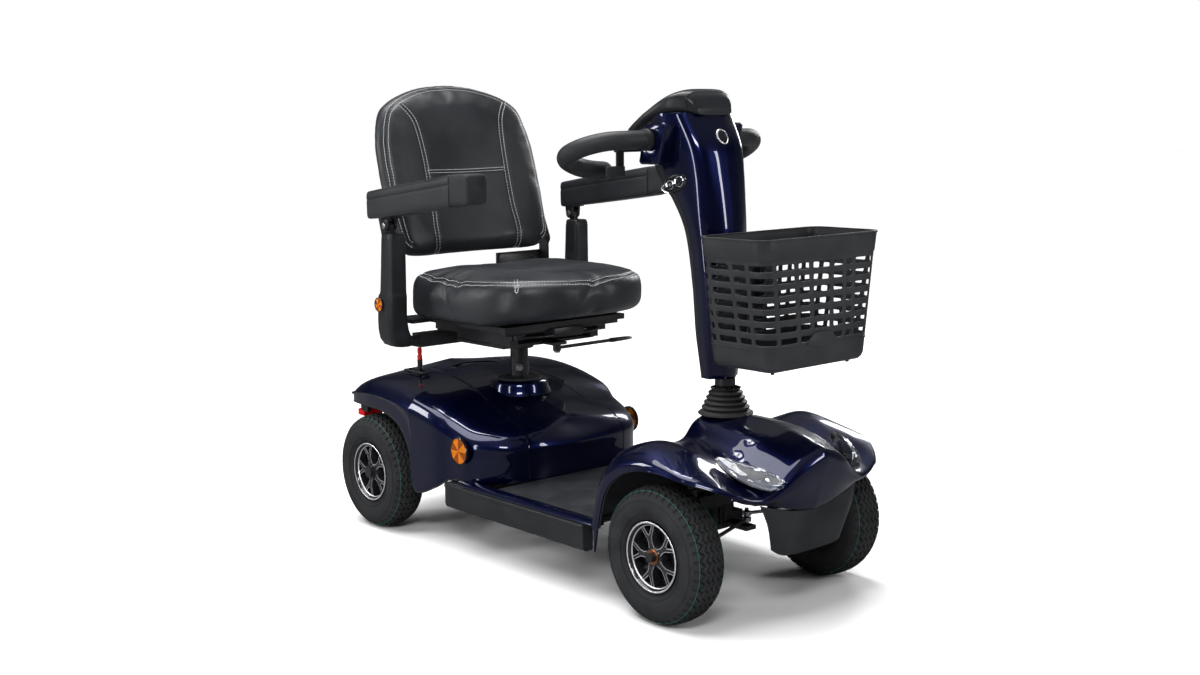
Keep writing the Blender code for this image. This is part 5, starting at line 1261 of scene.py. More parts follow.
def build_console_face():
    face = Vector((0, 0.044, 0.079)).normalized()
    across = face.cross(X_AXIS).normalized()
    base = Vector((0, -0.2560, 0.9172))

    def on_face(x, along, lift):
        return base + X_AXIS * x - across * along + face * lift

    rings = []
    for grow, lift in ((0.0, -0.004), (0.0, 0.0008), (-0.0012, 0.0018), (-0.003, 0.0020)):
        ring = []
        for i in range(64):
            angle = 2 * math.pi * i / 64
            u = (0.060 + grow) * math.copysign(abs(math.cos(angle)) ** 0.5, math.cos(angle))
            v = (0.0235 + grow) * math.copysign(abs(math.sin(angle)) ** 0.5, math.sin(angle))
            ring.append(on_face(u, v, lift))
        rings.append(ring)
    add(loft("console_face_plate", rings), GLOSS, "tiller", (), 40)
    lamps = []
    for i in range(6):
        at = on_face(-0.032 + i * 0.0085, 0.0150, 0.0020)
        lamps.append(rounded_box("lamp", at - Vector((0.0028, 0.0016, 0.0006)), at + Vector((0.0028, 0.0016, 0.0008)),
                                 0.0006, 2))
    add(joined("battery_gauge_lamps", lamps), GREEN, "tiller", (), 35, "amber_reflector")
    buttons = []
    for x in (-0.045, -0.016, 0.004):
        at = on_face(x, -0.004, 0.0015)
        buttons.append(turned("button", [(0.0, 0.0028), (0.0048, 0.0026), (0.0058, 0.0016), (0.0060, -0.001)],
                              at, face, 40))
    add(joined("console_buttons", buttons), SATIN_PLASTIC, "tiller")
    marks = []
    for i in range(9):
        angle = math.radians(210 - 30 * i)
        centre = Vector((0.034, -0.2755, 0.9285)) + face * 0.0007
        reach = X_AXIS * math.cos(angle) - across * math.sin(angle) * -1
        marks.append(rod("mark", centre + reach * 0.0172, centre + reach * 0.0205, 0.0005, 8))
    add(joined("speed_dial_marks", marks), WHITE, "tiller")


def build_controls():
    face = Vector((0, 0.044, 0.079)).normalized()
    foot = Vector((0.034, -0.2755, 0.9285))
    knob = turned("speed_knob_cap", [
        (0.0, 0.0140), (0.0100, 0.0140), (0.0118, 0.0134), (0.0128, 0.0120), (0.0136, 0.0040), (0.0148, 0.0030),
        (0.0150, 0.0002), (0.0, 0.0002),
    ], foot, face, 96)
    ribs = []
    across = face.cross(X_AXIS).normalized()
    for i in range(24):
        angle = 2 * math.pi * i / 24
        reach = X_AXIS * math.cos(angle) + across * math.sin(angle)
        ribs.append(rod("rib", foot + reach * 0.0138 + face * 0.004,
                        foot + reach * 0.0131 + face * 0.0118, 0.0006, 8))
    pointer = rod("pointer", foot + face * 0.0142 + across * 0.002, foot + face * 0.0142 + across * 0.0095, 0.0007, 8)
    add(joined("speed_knob_turned", [knob, *ribs]), SATIN_PLASTIC, "speed_knob", "speed_knob")
    add(pointer, WHITE, "speed_knob")
    horn = Vector((-0.050, -0.2400, 0.9088))
    button = turned("horn_button_cap",
                    [(0.0, 0.0045), (0.0050, 0.0044), (0.0075, 0.0036), (0.0085, 0.0020), (0.0085, 0.0)],
                    horn, face, 64)
    add(button, RED_PLASTIC, "horn", "horn_button")
    key_foot = Vector((0.056, -0.2390, 0.9085))
    blade = key_foot + face * 0.018
    bow = [
        rod("key_stem", key_foot, key_foot + face * 0.013, 0.0034, 24),
        bevel(rod("key_bow", blade - X_AXIS * 0.0015, blade + X_AXIS * 0.0015, 0.0095, 48), 0.0008, 2),
    ]
    add(joined("key_with_bow", bow), PLASTIC, "key", "key")
    lock = turned("key_lock", [(0.0036, 0.0016), (0.0068, 0.0014), (0.0076, 0.0004), (0.0076, -0.003),
                               (0.0036, -0.003)],
                  key_foot, face, 48, closed=True)
    add(lock, CHROME, "tiller")
    turns = np.linspace(0, 2 * math.pi, 64, endpoint=False)
    loop = [(-0.030, -0.2860 + 0.026 * math.sin(a), 0.7700 + 0.0085 * math.cos(a)) for a in turns]
    add(tube("tilt_lever_loop", loop, 0.0019, 14, cyclic=True), CHROME, "tilt_lever", "tilt_lever", 60)


def build_sockets():
    """Charging socket and lock in an oval boss on the near side of the tiller, small screws on the far side."""
    out = Vector((-1, -0.10, 0.05)).normalized()
    centre = Vector((-0.0650, -0.3380, 0.7830))
    along = Vector((0, -0.95, 0.30))
    along = (along - out * along.dot(out)).normalized()
    up = out.cross(along).normalized()
    rings = []
    for grow, lift in ((0.002, -0.004), (0.001, 0.0045), (-0.0005, 0.0060), (-0.0030, 0.0062), (-0.0040, 0.0045)):
        ring = []
        for i in range(72):
            angle = 2 * math.pi * i / 72
            u = (0.0270 + grow) * math.copysign(abs(math.cos(angle)) ** 0.75, math.cos(angle))
            v = (0.0150 + grow) * math.copysign(abs(math.sin(angle)) ** 0.9, math.sin(angle))
            ring.append(centre + along * u + up * v + out * lift)
        rings.append(ring)
    add(bevel(loft("socket_boss", rings), 0.0004, 2, 25), GLOSS, "tiller", (), 40)
    chrome, dark = [], []
    for shift, size in ((0.0110, 0.0095), (-0.0115, 0.0080)):
        at = centre + along * shift + out * 0.0042
        chrome.append(turned("ring", [
            (size, 0.0), (size + 0.0012, 0.0), (size + 0.0012, 0.0026), (size + 0.0004, 0.0034),
            (size - 0.0010, 0.0030),
            (size - 0.0014, 0.0008)], at, out, 64, closed=True))
        dark.append(turned("well", [(0.0, 0.0006), (size - 0.0012, 0.0006), (size - 0.0012, -0.002), (0.0, -0.002)],
                           at, out, 48))
        for i in range(3 if shift > 0 else 1):
            angle = 2 * math.pi * i / 3
            pin = at + (along * math.cos(angle) + up * math.sin(angle)) * (0.0042 if shift > 0 else 0)
            chrome.append(rod("pin", pin, pin + out * 0.0022, 0.0011 if shift > 0 else 0.0036, 20))
    add(joined("socket_rings", chrome), CHROME, "tiller")
    add(joined("socket_wells", dark), GLOSS, "tiller")
    knobs = []
    for y, z in ((-0.3450, 0.7860), (-0.3560, 0.7560)):
        knobs.append(turned("knob",
                            [(0.0, 0.0080), (0.0048, 0.0076), (0.0060, 0.0060), (0.0064, 0.0), (0.0066, -0.006)],
                            (0.0640, y, z), X_AXIS, 40))
    add(joined("tiller_side_knobs", knobs), PLASTIC, "tiller")


def build_throttle():
    plate = rounded_box("throttle_bar", (-0.138, THROTTLE_Y - 0.006, 0.8410), (0.138, THROTTLE_Y + 0.006, 0.8470),
                        0.0022, 3)
    pieces = [plate, rod("throttle_hub", (0, THROTTLE_Y, 0.844), (0, THROTTLE_Y, 0.862), 0.0055, 40)]
    teeth = []
    for side in (1, -1):
        ends = sorted((side * 0.1205, side * 0.1385))
        pieces.append(rounded_box("drop", (ends[0], THROTTLE_Y - 0.0055, 0.803),
                                  (ends[1], THROTTLE_Y, 0.846), 0.0018, 3))
        ends = sorted((side * 0.120, side * 0.166))
        pieces.append(rounded_box("paddle", (ends[0], THROTTLE_Y - 0.008, 0.796),
                                  (ends[1], THROTTLE_Y - 0.001, 0.816),
                                  0.0028, 4))
        for i in range(11):
            x = side * (0.1245 + 0.0037 * i)
            teeth.append(rod("tooth", (x, THROTTLE_Y - 0.0080, 0.7990), (x, THROTTLE_Y - 0.0080, 0.8130), 0.0010, 10))
    add(joined("throttle_wigwag", pieces + teeth), PLASTIC, "throttle", "throttle_lever")


def build_badge(cover):
    """A plain round disc without lettering, lying on the tiller's nose."""
    rings, fields = [], []
    for group, half_u, half_v, steps in (
        (rings, 0.0140, 0.0140, ((0.0, -0.0005), (0.0, 0.0016), (-0.0008, 0.0022), (-0.0022, 0.0022),
                                 (-0.0024, 0.0012))),
        (fields, 0.0116, 0.0116, ((0.0, -0.0005), (0.0, 0.0014), (-0.0030, 0.0018), (-0.0070, 0.0020))),
    ):
        for grow, lift in steps:
            oval = [((half_u + grow) * math.cos(a), -0.392, 0.868 + (half_v + grow) * math.sin(a))
                    for a in np.linspace(0, 2 * math.pi, 64, endpoint=False)]
            group.append([place - Y_AXIS * lift for place, _ in on_surface(cover, oval, Y_AXIS)])
    add(loft("badge_rim", rings), SILVER, "tiller", (), 40, "zinc_plated_steel")
    add(loft("badge_field", fields), GLOSS, "tiller", (), 40)


def build_gaiter():
    folds, low_z, high_z, low_r, high_r, wall = 5, 0.3514, 0.3975, 0.050, 0.029, 0.0022
    count = folds * 16
    outer = []
    for i in range(count + 1):
        share = i / count
        wave = 0.5 + 0.5 * math.cos(2 * math.pi * folds * share)
        outer.append((low_r + (high_r - low_r) * share - 0.0052 * (1 - wave ** 0.6),
                      low_z + (high_z - low_z) * share))
    profile = list(reversed(outer)) + [(radius - wall, height) for radius, height in outer]
    gaiter = turned("gaiter_bellows", profile, (0, STEERING_Y, 0), steps=96, closed=True)
    add(gaiter, BOOT, "steering", "gaiter", 70, until=("tiller", low_z, high_z))
    foot = turned("gaiter_foot", [
        (0.0360, 0.3470), (0.0520, 0.3470), (0.0530, 0.3482), (0.0525, 0.3500), (0.0500, 0.3512), (0.0360, 0.3512),
    ], (0, STEERING_Y, 0), steps=96, closed=True)
    add(foot, BOOT, "chassis", (), 40)
    sleeve = turned("column_sleeve",
                    [(0.0128, 0.4000), (0.0180, 0.4000), (0.0195, 0.4020), (0.0195, 0.4150), (0.0128, 0.4160)],
                    (0, -0.3995, 0), steps=64, closed=True)
    add(sleeve, POWDER, "tiller")


BASKET_LOW, BASKET_HIGH, BASKET_REAR = 0.464, 0.695, -0.484
SLOT_ROWS = 7
BAND_LOW, BAND_HIGH = 0.508, 0.658


def basket_path(share, inset=0.0, corner=0.026, points=7):
    """The basket's rounded plan at a share of its height, from the rear middle round the far side and back."""
    half_x = 0.130 + 0.028 * share - inset
    front, rear = -0.6370 - 0.0045 * share + inset, BASKET_REAR - inset
    size = max(corner - inset, 0.004)
    path = []
    for (cx, cy), start in (((half_x - size, rear - size), 90), ((half_x - size, front + size), 0),
                            ((size - half_x, front + size), -90), ((size - half_x, rear - size), -180)):
        path += arc((cx, cy), size, start, start - 90, points)
    return path


def along_path(path, share):
    """Point at a share of the closed path's length."""
    closed = np.array(path + path[:1])
    lengths = np.concatenate([[0], np.cumsum(np.linalg.norm(np.diff(closed, axis=0), axis=1))])
    at = share * lengths[-1]
    return tuple(np.interp(at, lengths, closed[:, k]) for k in (0, 1))


def basket_point(s, z, inset=0.0):
    share = (z - BASKET_LOW) / (BASKET_HIGH - BASKET_LOW)
    x, y = along_path(basket_path(share, inset), s % 1)
    return Vector((x, y, z))


def build_basket():
    """The tub's wall as a net of cells, with a rounded slot in each cell between the base and the top band."""
    half = [0.0, 0.045, 0.075, 0.118, 0.168, 0.196, 0.262, 0.290, 0.330, 0.392, 0.436, 0.5]
    stops = half + [1 - share for share in reversed(half[1:-1])] + [1.0]
    shape = bmesh.new()
    columns = len(stops) - 1
    row_height = (BAND_HIGH - BAND_LOW) / SLOT_ROWS
    samples = 6

    def vert(s, z):
        return shape.verts.new(basket_point(s, z))

    for column in range(columns):
        left, right = stops[column], stops[column + 1]
        margin = 0.0052
        for row in range(SLOT_ROWS):
            low, high = BAND_LOW + row * row_height, BAND_LOW + (row + 1) * row_height
            hole_low, hole_high = low + 0.25 * row_height, high - 0.25 * row_height
            hole_left, hole_right = left + margin, right - margin
            outer, inner = [], []
            grid_s = np.linspace(left, right, samples + 1)
            hole_s = np.linspace(hole_left, hole_right, samples + 1)
            hole_s[1], hole_s[-2] = hole_s[0] + 0.0022, hole_s[-1] - 0.0022
            chamfer = 0.18 * (hole_high - hole_low)
            for i in range(samples + 1):
                cut_in = chamfer if i in (0, samples) else 0
                outer.append((grid_s[i], low))
                inner.append((hole_s[i], hole_low + cut_in))
            for i in range(samples, -1, -1):
                cut_in = chamfer if i in (0, samples) else 0
                outer.append((grid_s[i], high))
                inner.append((hole_s[i], hole_high - cut_in))
            outer_verts = [vert(*p) for p in outer]
            inner_verts = [vert(*p) for p in inner]
            for i in range(len(outer)):
                j = (i + 1) % len(outer)
                shape.faces.new((outer_verts[i], outer_verts[j], inner_verts[j], inner_verts[i]))
        for low, high, count in ((BASKET_LOW + 0.014, BAND_LOW, 3), (BAND_HIGH, BASKET_HIGH, 3)):
            grid_s = np.linspace(left, right, samples + 1)
            grid_z = np.linspace(low, high, count + 1)
            net = [[vert(s, z) for s in grid_s] for z in grid_z]
            for a, b in zip(net, net[1:]):
                for i in range(samples):
                    shape.faces.new((a[i], a[i + 1], b[i + 1], b[i]))
    bmesh.ops.remove_doubles(shape, verts=shape.verts, dist=0.00005)
    rim_shares = [share for a, b in zip(stops, stops[1:]) for share in np.linspace(a, b, samples + 1)[:-1]]
    base_rings = []
    for z, inset in ((BASKET_LOW + 0.014, 0.0), (BASKET_LOW + 0.007, 0.0022), (BASKET_LOW + 0.002, 0.0070),
                     (BASKET_LOW, 0.0140)):
        base_rings.append([basket_point(s, z, inset) for s in rim_shares])
    net = grid_faces(shape, base_rings, wrap=True)
    shape.faces.new(net[-1])
    bmesh.ops.remove_doubles(shape, verts=shape.verts, dist=0.0004)
    bmesh.ops.recalc_face_normals(shape, faces=shape.faces)
    basket = from_bmesh("basket_tub", shape)
    wall = basket.modifiers.new("wall", "SOLIDIFY")
    wall.thickness = 0.0032
    wall.offset = -1
    bevel(basket, 0.0007, 2, 40)
    add(basket, DARK_PLASTIC, "basket", "basket")

    bands = []
    for z_low, z_high, out_low, out_high in ((0.6610, 0.6955, 0.0014, 0.0022), (0.6935, 0.6975, 0.0034, 0.0034),
                                             (0.5040, 0.5075, 0.0012, 0.0012)):
        rings = []
        for z, out in ((z_low, 0.0), (z_low, -out_low), (z_high, -out_high), (z_high, 0.0036)):
            rings.append([basket_point(s, z, out) for s in np.linspace(0, 1, 160, endpoint=False)])
        rings.append(rings[0])
        band = loft("band", rings, caps=False)
        bands.append(bevel(weld(band), 0.0006, 2, 35))
    hood = []
    for i, grow in enumerate((0.0, -0.0024)):
        ring = []
        for u, v in ((-0.040, 0.507), (-0.034, 0.517), (-0.022, 0.527), (0.0, 0.529), (0.022, 0.527), (0.034, 0.517),
                     (0.040, 0.507), (0.0, 0.500)):
            share = (v - BASKET_LOW) / (BASKET_HIGH - BASKET_LOW)
            ring.append(Vector((u, -0.6370 - 0.0045 * share + grow, v)))
        hood.append(ring)
    bands.append(bevel(loft("front_hump", hood), 0.0008, 2, 35))
    for x, y in ((0.100, -0.612), (-0.100, -0.612), (0.100, -0.510), (-0.100, -0.510)):
        bands.append(rod("foot", (x, y, 0.4590), (x, y, 0.4650), 0.0035, 20))
    add(joined("basket_bands_and_feet", bands), DARK_PLASTIC, "basket")
    hooks = []
    for x in (-0.036, 0.036):
        hooks.append(rounded_box("hook", (x - 0.007, -0.4850, 0.560), (x + 0.007, -0.4600, 0.6410), 0.002, 2))
    add(joined("basket_hooks", hooks), DARK_PLASTIC, "basket")


# ---- seat --------------------------------------------------------------------------------------------------

FOLD = Vector((0, 0.410, 0.625))
RECLINE = math.radians(16.5)
LEAN = Matrix.Translation(FOLD) @ Matrix.Rotation(-RECLINE, 4, "X")
BACK_LOW, BACK_HEIGHT = -0.022, 0.395
CUSHION_HALF, CUSHION_FRONT, CUSHION_REAR = 0.2140, -0.0450, 0.378
BACK_SIDE = [
    (0.0, 0.0), (0.090, -0.001), (0.165, 0.0), (0.200, 0.014), (0.209, 0.042), (0.214, 0.108), (0.216, 0.182),
    (0.212, 0.256), (0.194, 0.322), (0.167, 0.351), (0.120, 0.374), (0.062, 0.390), (0.0, 0.395),
]
BACK_SEAM = [  # the stitched line on the rider's right, in the backrest's own x and z
    (-0.1120, -0.020), (-0.114, 0.030), (-0.110, 0.080), (-0.110, 0.150), (-0.1115, 0.210), (-0.1175, 0.270),
    (-0.1300, 0.300), (-0.150, 0.326),
]
VOXEL = 0.005
SWELL_FRAMES = 20
EASE_STEPS = 9


def inflated(obj, pressure, cap, hold):
    """Remeshes a closed form evenly and lets Cloth pressure swell it. hold(point) is 0 where it can't move."""
    bpy.context.scene.collection.objects.link(obj)
    remesh = obj.modifiers.new("remesh", "REMESH")
    remesh.mode = "VOXEL"
    remesh.voxel_size = VOXEL
    applied(obj)
    even = obj.modifiers.new("even", "SMOOTH")
    even.factor, even.iterations = 0.5, 4
    applied(obj)
    count = len(obj.data.vertices)
    start = np.empty(count * 3)
    obj.data.vertices.foreach_get("co", start)
    cloth = obj.modifiers.new("swell", "CLOTH")
    settings = cloth.settings
    settings.quality = 5
    settings.mass = 0.3
    settings.tension_stiffness = settings.compression_stiffness = 18
    settings.shear_stiffness = 8
    settings.bending_stiffness = 2
    settings.use_pressure = True
    settings.uniform_pressure_force = pressure
    settings.effector_weights.gravity = 0
    cloth.point_cache.frame_start, cloth.point_cache.frame_end = 1, SWELL_FRAMES
    scene = bpy.context.scene
    for step in range(1, SWELL_FRAMES + 1):
        scene.frame_set(step)
    graph = bpy.context.evaluated_depsgraph_get()
    swollen = obj.evaluated_get(graph)
    end = np.empty(count * 3)
    swollen.data.vertices.foreach_get("co", end)
    start, end = start.reshape(-1, 3), end.reshape(-1, 3)
    move = end - start
    length = np.maximum(np.linalg.norm(move, axis=1, keepdims=True), 1e-9)
    move *= np.minimum(1, cap / length)
    weight = np.array([hold(point) for point in start]).reshape(-1, 1)
    obj.modifiers.clear()
    obj.data.vertices.foreach_set("co", (start + move * weight).ravel())
    obj.data.update()
    scene.frame_set(1)
    ease = obj.modifiers.new("ease", "SMOOTH")
    ease.factor, ease.iterations = 0.6, EASE_STEPS
    applied(obj)
    bpy.context.scene.collection.objects.unlink(obj)
    return obj


def pressed_in(obj, lines, depth, width):
    """Presses grooves into the surface along the lines of points."""
    points = np.array([point for line in lines for point in line])
    count = len(obj.data.vertices)
    spots = np.empty(count * 3)
    obj.data.vertices.foreach_get("co", spots)
    spots = spots.reshape(-1, 3)
    normals = np.array([tuple(v.normal) for v in obj.data.vertices])
    reach = np.full(count, 9.0)
    for start in range(0, len(points), 200):
        part = points[start:start + 200]
        reach = np.minimum(reach, np.sqrt(((spots[:, None] - part[None]) ** 2).sum(-1)).min(1))
    spots -= normals * (depth * np.exp(-((reach / width) ** 2)))[:, None]
    obj.data.vertices.foreach_set("co", spots.ravel())
    obj.data.update()
    return obj


def on_surface(obj, points, toward):
    """Drops each point onto the piece along a direction, or to its nearest spot, as (place, normal)."""
    tree = BVHTree.FromPolygons([v.co for v in obj.data.vertices], [p.vertices for p in obj.data.polygons])
    found = []
    for point in points:
        point = Vector(point)
        way = Vector(toward)
        hit = tree.ray_cast(point - way * 0.06, way, 0.12)
        if hit[0] is None:
            hit = tree.find_nearest(point)
        found.append((hit[0], hit[1] if hit[1].dot(way) < 0 else -hit[1]))
    return found


def resampled(points, step):
    points = np.array([tuple(p) for p in points], float)
    lengths = np.concatenate([[0], np.cumsum(np.linalg.norm(np.diff(points, axis=0), axis=1))])
    at = np.arange(0, lengths[-1], step)
    return [Vector([np.interp(a, lengths, points[:, k]) for k in range(3)]) for a in at]


def stitched(name, obj, lines, toward, body, offsets=(-0.0048, 0.0048), pitch=0.0068, stitch=0.0045):
    """Rows of thread along the lines, beside the seam, lying on the surface of the piece."""
    shape = bmesh.new()
    for line in lines:
        for offset in offsets:
            spots = on_surface(obj, resampled(line, 0.0022), toward)
            rail = []
            for i, (place, normal) in enumerate(spots):
                ahead = spots[min(i + 1, len(spots) - 1)][0] - spots[max(i - 1, 0)][0]
                side = normal.cross(ahead)
                if side.length < 1e-9:
                    continue
                rail.append(place + side.normalized() * offset)
            rail = resampled(rail, pitch / 4)
            rail = on_surface(obj, rail, toward)
            for i in range(0, len(rail) - 3, 4):
                run = [rail[i + k][0] + rail[i + k][1] * h
                       for k, h in ((0, -0.0001), (1, 0.0006), (2, 0.0006), (3, -0.0001))]
                if (run[0] - run[-1]).length > 2 * stitch:
                    continue
                thread_piece(shape, run, rail[i][1])
    add(from_bmesh(name, shape), THREAD, body, (), 60)


def thread_piece(shape, run, normal, radius=0.00062, sides=6):
    rings = []
    along = (run[-1] - run[0]).normalized()
    side = along.cross(normal).normalized()
    up = side.cross(along)
    for k, point in enumerate(run):
        size = radius * (0.75 if k in (0, len(run) - 1) else 1)
        rings.append([shape.verts.new(point + size * (math.cos(a) * side + math.sin(a) * up))
                      for a in np.linspace(0, 2 * math.pi, sides, endpoint=False)])
    for a, b in zip(rings, rings[1:]):
        for i in range(sides):
            j = (i + 1) % sides
            shape.faces.new((a[i], a[j], b[j], b[i]))
    shape.faces.new(rings[0])
    shape.faces.new(rings[-1])


def cushion_outline(size):
    """Plan of the seat cushion: a broad rounded front and tighter rear corners."""
    reach = 0.190 - CUSHION_FRONT
    front = [
        (CUSHION_HALF * math.copysign(abs(math.cos(a)) ** 0.72, math.cos(a)),
         0.190 - reach * abs(math.sin(a)) ** 0.72)
        for a in np.linspace(math.pi, 2 * math.pi, 61)
    ]
    corner = CUSHION_HALF - 0.050
    outline = front + arc((corner, 0.328), 0.050, 0, 90, 12) + arc((-corner, 0.328), 0.050, 90, 180, 12)
    centre_y = (CUSHION_REAR + CUSHION_FRONT) / 2
    return [(x * size, centre_y + (y - centre_y) * size) for x, y in outline]


def lifted(y, rear_z, front_z):
    return rear_z + (front_z - rear_z) * min(max((0.10 - y) / 0.14, 0), 1)


def build_cushion():
    rings = []
    for size, rear_z, front_z in (
        (0.800, 0.4800, 0.5040), (0.900, 0.4815, 0.5090), (0.955, 0.4870, 0.5170), (0.980, 0.4960, 0.5250),
        (0.990, 0.5120, 0.5370), (0.990, 0.5400, 0.5560), (0.982, 0.5560, 0.5650), (0.960, 0.5680, 0.5730),
        (0.925, 0.5755, 0.5790), (0.880, 0.5790, 0.5815), (0.60, 0.5795, 0.5810), (0.25, 0.5780, 0.5790),
    ):
        rings.append([Vector((x, y, lifted(y, rear_z, front_z))) for x, y in cushion_outline(size)])
    base = loft("cushion_cover", rings)
    cushion = inflated(base, 4.0, 0.022, lambda p: min(1, max(0.15, (p[2] - 0.487) / 0.04)) * 0.55)
    for vertex in cushion.data.vertices:
        x, y, z = vertex.co
        centre = math.exp(-((x / 0.10) ** 2 + ((y - 0.20) / 0.13) ** 2))
        if z > 0.55:
            vertex.co.z -= 0.0065 * centre
            vertex.co.z -= 0.0010 * math.sin(34 * x + 3 * y) * math.sin(21 * y) * math.exp(-((x / 0.15) ** 2))
        vertex.co.x = max(-0.2150, min(0.2150, vertex.co.x))
        vertex.co.y = max(-0.0475, min(0.3820, vertex.co.y))
        vertex.co.z = max(0.4799, min(0.5900, vertex.co.z))
    edge = [Vector((x, y, 0.60)) for x, y in cushion_outline(0.905)]
    edge.append(edge[0])
    rim = [p for p, _ in on_surface(cushion, resampled(edge, 0.004), (0, 0, -1))]
    crosses = []
    for side in (1, -1):
        line = [Vector((side * (0.150 + 0.030 * t), 0.048 - 0.040 * t, 0.60)) for t in np.linspace(0, 1, 12)]
        crosses.append([p for p, _ in on_surface(cushion, line, (0, 0, -1))])
    welt = [Vector((x, y, lifted(y, 0.4870, 0.5170))) for x, y in cushion_outline(0.985)]
    pressed_in(cushion, [rim], 0.0030, 0.0042)
    pressed_in(cushion, crosses, 0.0014, 0.004)
    pressed_in(cushion, [resampled(welt + welt[:1], 0.004)], 0.0022, 0.0040)
    subdivide(cushion, 1)
    applied(cushion)
    stitched("cushion_stitching", cushion, [edge], (0, 0, -1), "chair")
    stitched("cushion_corner_stitching", cushion, crosses, (0, 0, -1), "chair", (-0.003, 0.003))
    piece = add(cushion, VINYL, "chair", "seat_cushion", 60)


def back_outline(inset, samples=60):
    side = spline(BACK_SIDE, samples)
    shrink = 1 - inset / (BACK_HEIGHT / 2)
    shrunk = [(x * shrink, BACK_LOW + BACK_HEIGHT / 2 + (z - BACK_HEIGHT / 2) * shrink) for x, z in side]
    return shrunk + [(-x, z) for x, z in reversed(shrunk[1:-1])]


def dished(x, z):
    """How far the backrest's front stands in front of its rear plane: side bolsters, with a hollow between."""
    hollow = 0.012 * math.exp(-((x / 0.125) ** 2)) * min(1, max(0.2, (0.30 - z) / 0.20))
    top = 0.010 * min(1, max(0, (z - 0.300) / 0.070)) ** 2
    return 0.0410 - hollow - top


def build_backrest():
    rings = []
    for inset, depth in ((0.020, 0.0), (0.006, -0.0005), (0.001, -0.0050), (0.0005, -0.016), (0.0015, -0.026),
                         (0.006, -0.034), (0.014, -0.0385), (0.030, -0.0400), (0.080, -0.0400), (0.150, -0.0400)):
        ring = []
        for x, z in back_outline(inset):
            front = dished(x, z)
            y = depth if depth > -0.020 else depth * front / 0.0400
            ring.append(LEAN @ Vector((x, y, z)))
        rings.append(ring)
    base = loft("backrest_cover", rings)
    inverse = LEAN.inverted()

    def hold(point):
        local = inverse @ Vector(point)
        return min(1, max(0, (-local.y - 0.006) / 0.02)) * 0.42

    back = inflated(base, 4.0, 0.016, hold)
    left = [Vector((x, 0, z)) for x, z in spline(BACK_SEAM, 60)]
    right = [Vector((-p.x, 0, p.z)) for p in left]
    level = [Vector((x, 0, 0.162)) for x in np.linspace(-0.108, 0.108, 40)]
    inner = [Vector((x, 0, z)) for x, z in back_outline(0.0135)]
    half = [p for p in inner[:60] if p.z > -0.004]
    rim = half + [Vector((-p.x, 0, p.z)) for p in reversed(half[:-1])]
    placed_lines = []
    way = LEAN.to_3x3() @ Vector((0, 1, 0))
    for line in (left, right, level, rim):
        line = [LEAN @ (p + Vector((0, -0.030, 0))) for p in line]
        placed_lines.append([p for p, _ in on_surface(back, resampled(line, 0.004), way)])
    for vertex in back.data.vertices:
        local = inverse @ vertex.co
        local.y = max(-0.0505, min(-0.0001, local.y))
        local.x = max(-0.2175, min(0.2175, local.x))
        local.y -= 0.0008 * math.sin(30 * local.x + 2) * math.sin(24 * local.z) if local.y < -0.02 else 0
        vertex.co = LEAN @ local
    pressed_in(back, placed_lines[:2] + placed_lines[3:], 0.0028, 0.0042)
    pressed_in(back, placed_lines[2:3], 0.0018, 0.0032)
    subdivide(back, 1)
    applied(back)
    stitched("backrest_stitching", back, placed_lines[:2] + placed_lines[3:], way, "backrest")
    stitched("backrest_level_stitching", back, placed_lines[2:3], way, "backrest", (-0.0032, 0.0032))
    piece = add(back, VINYL, "backrest", "backrest_pad", 60)


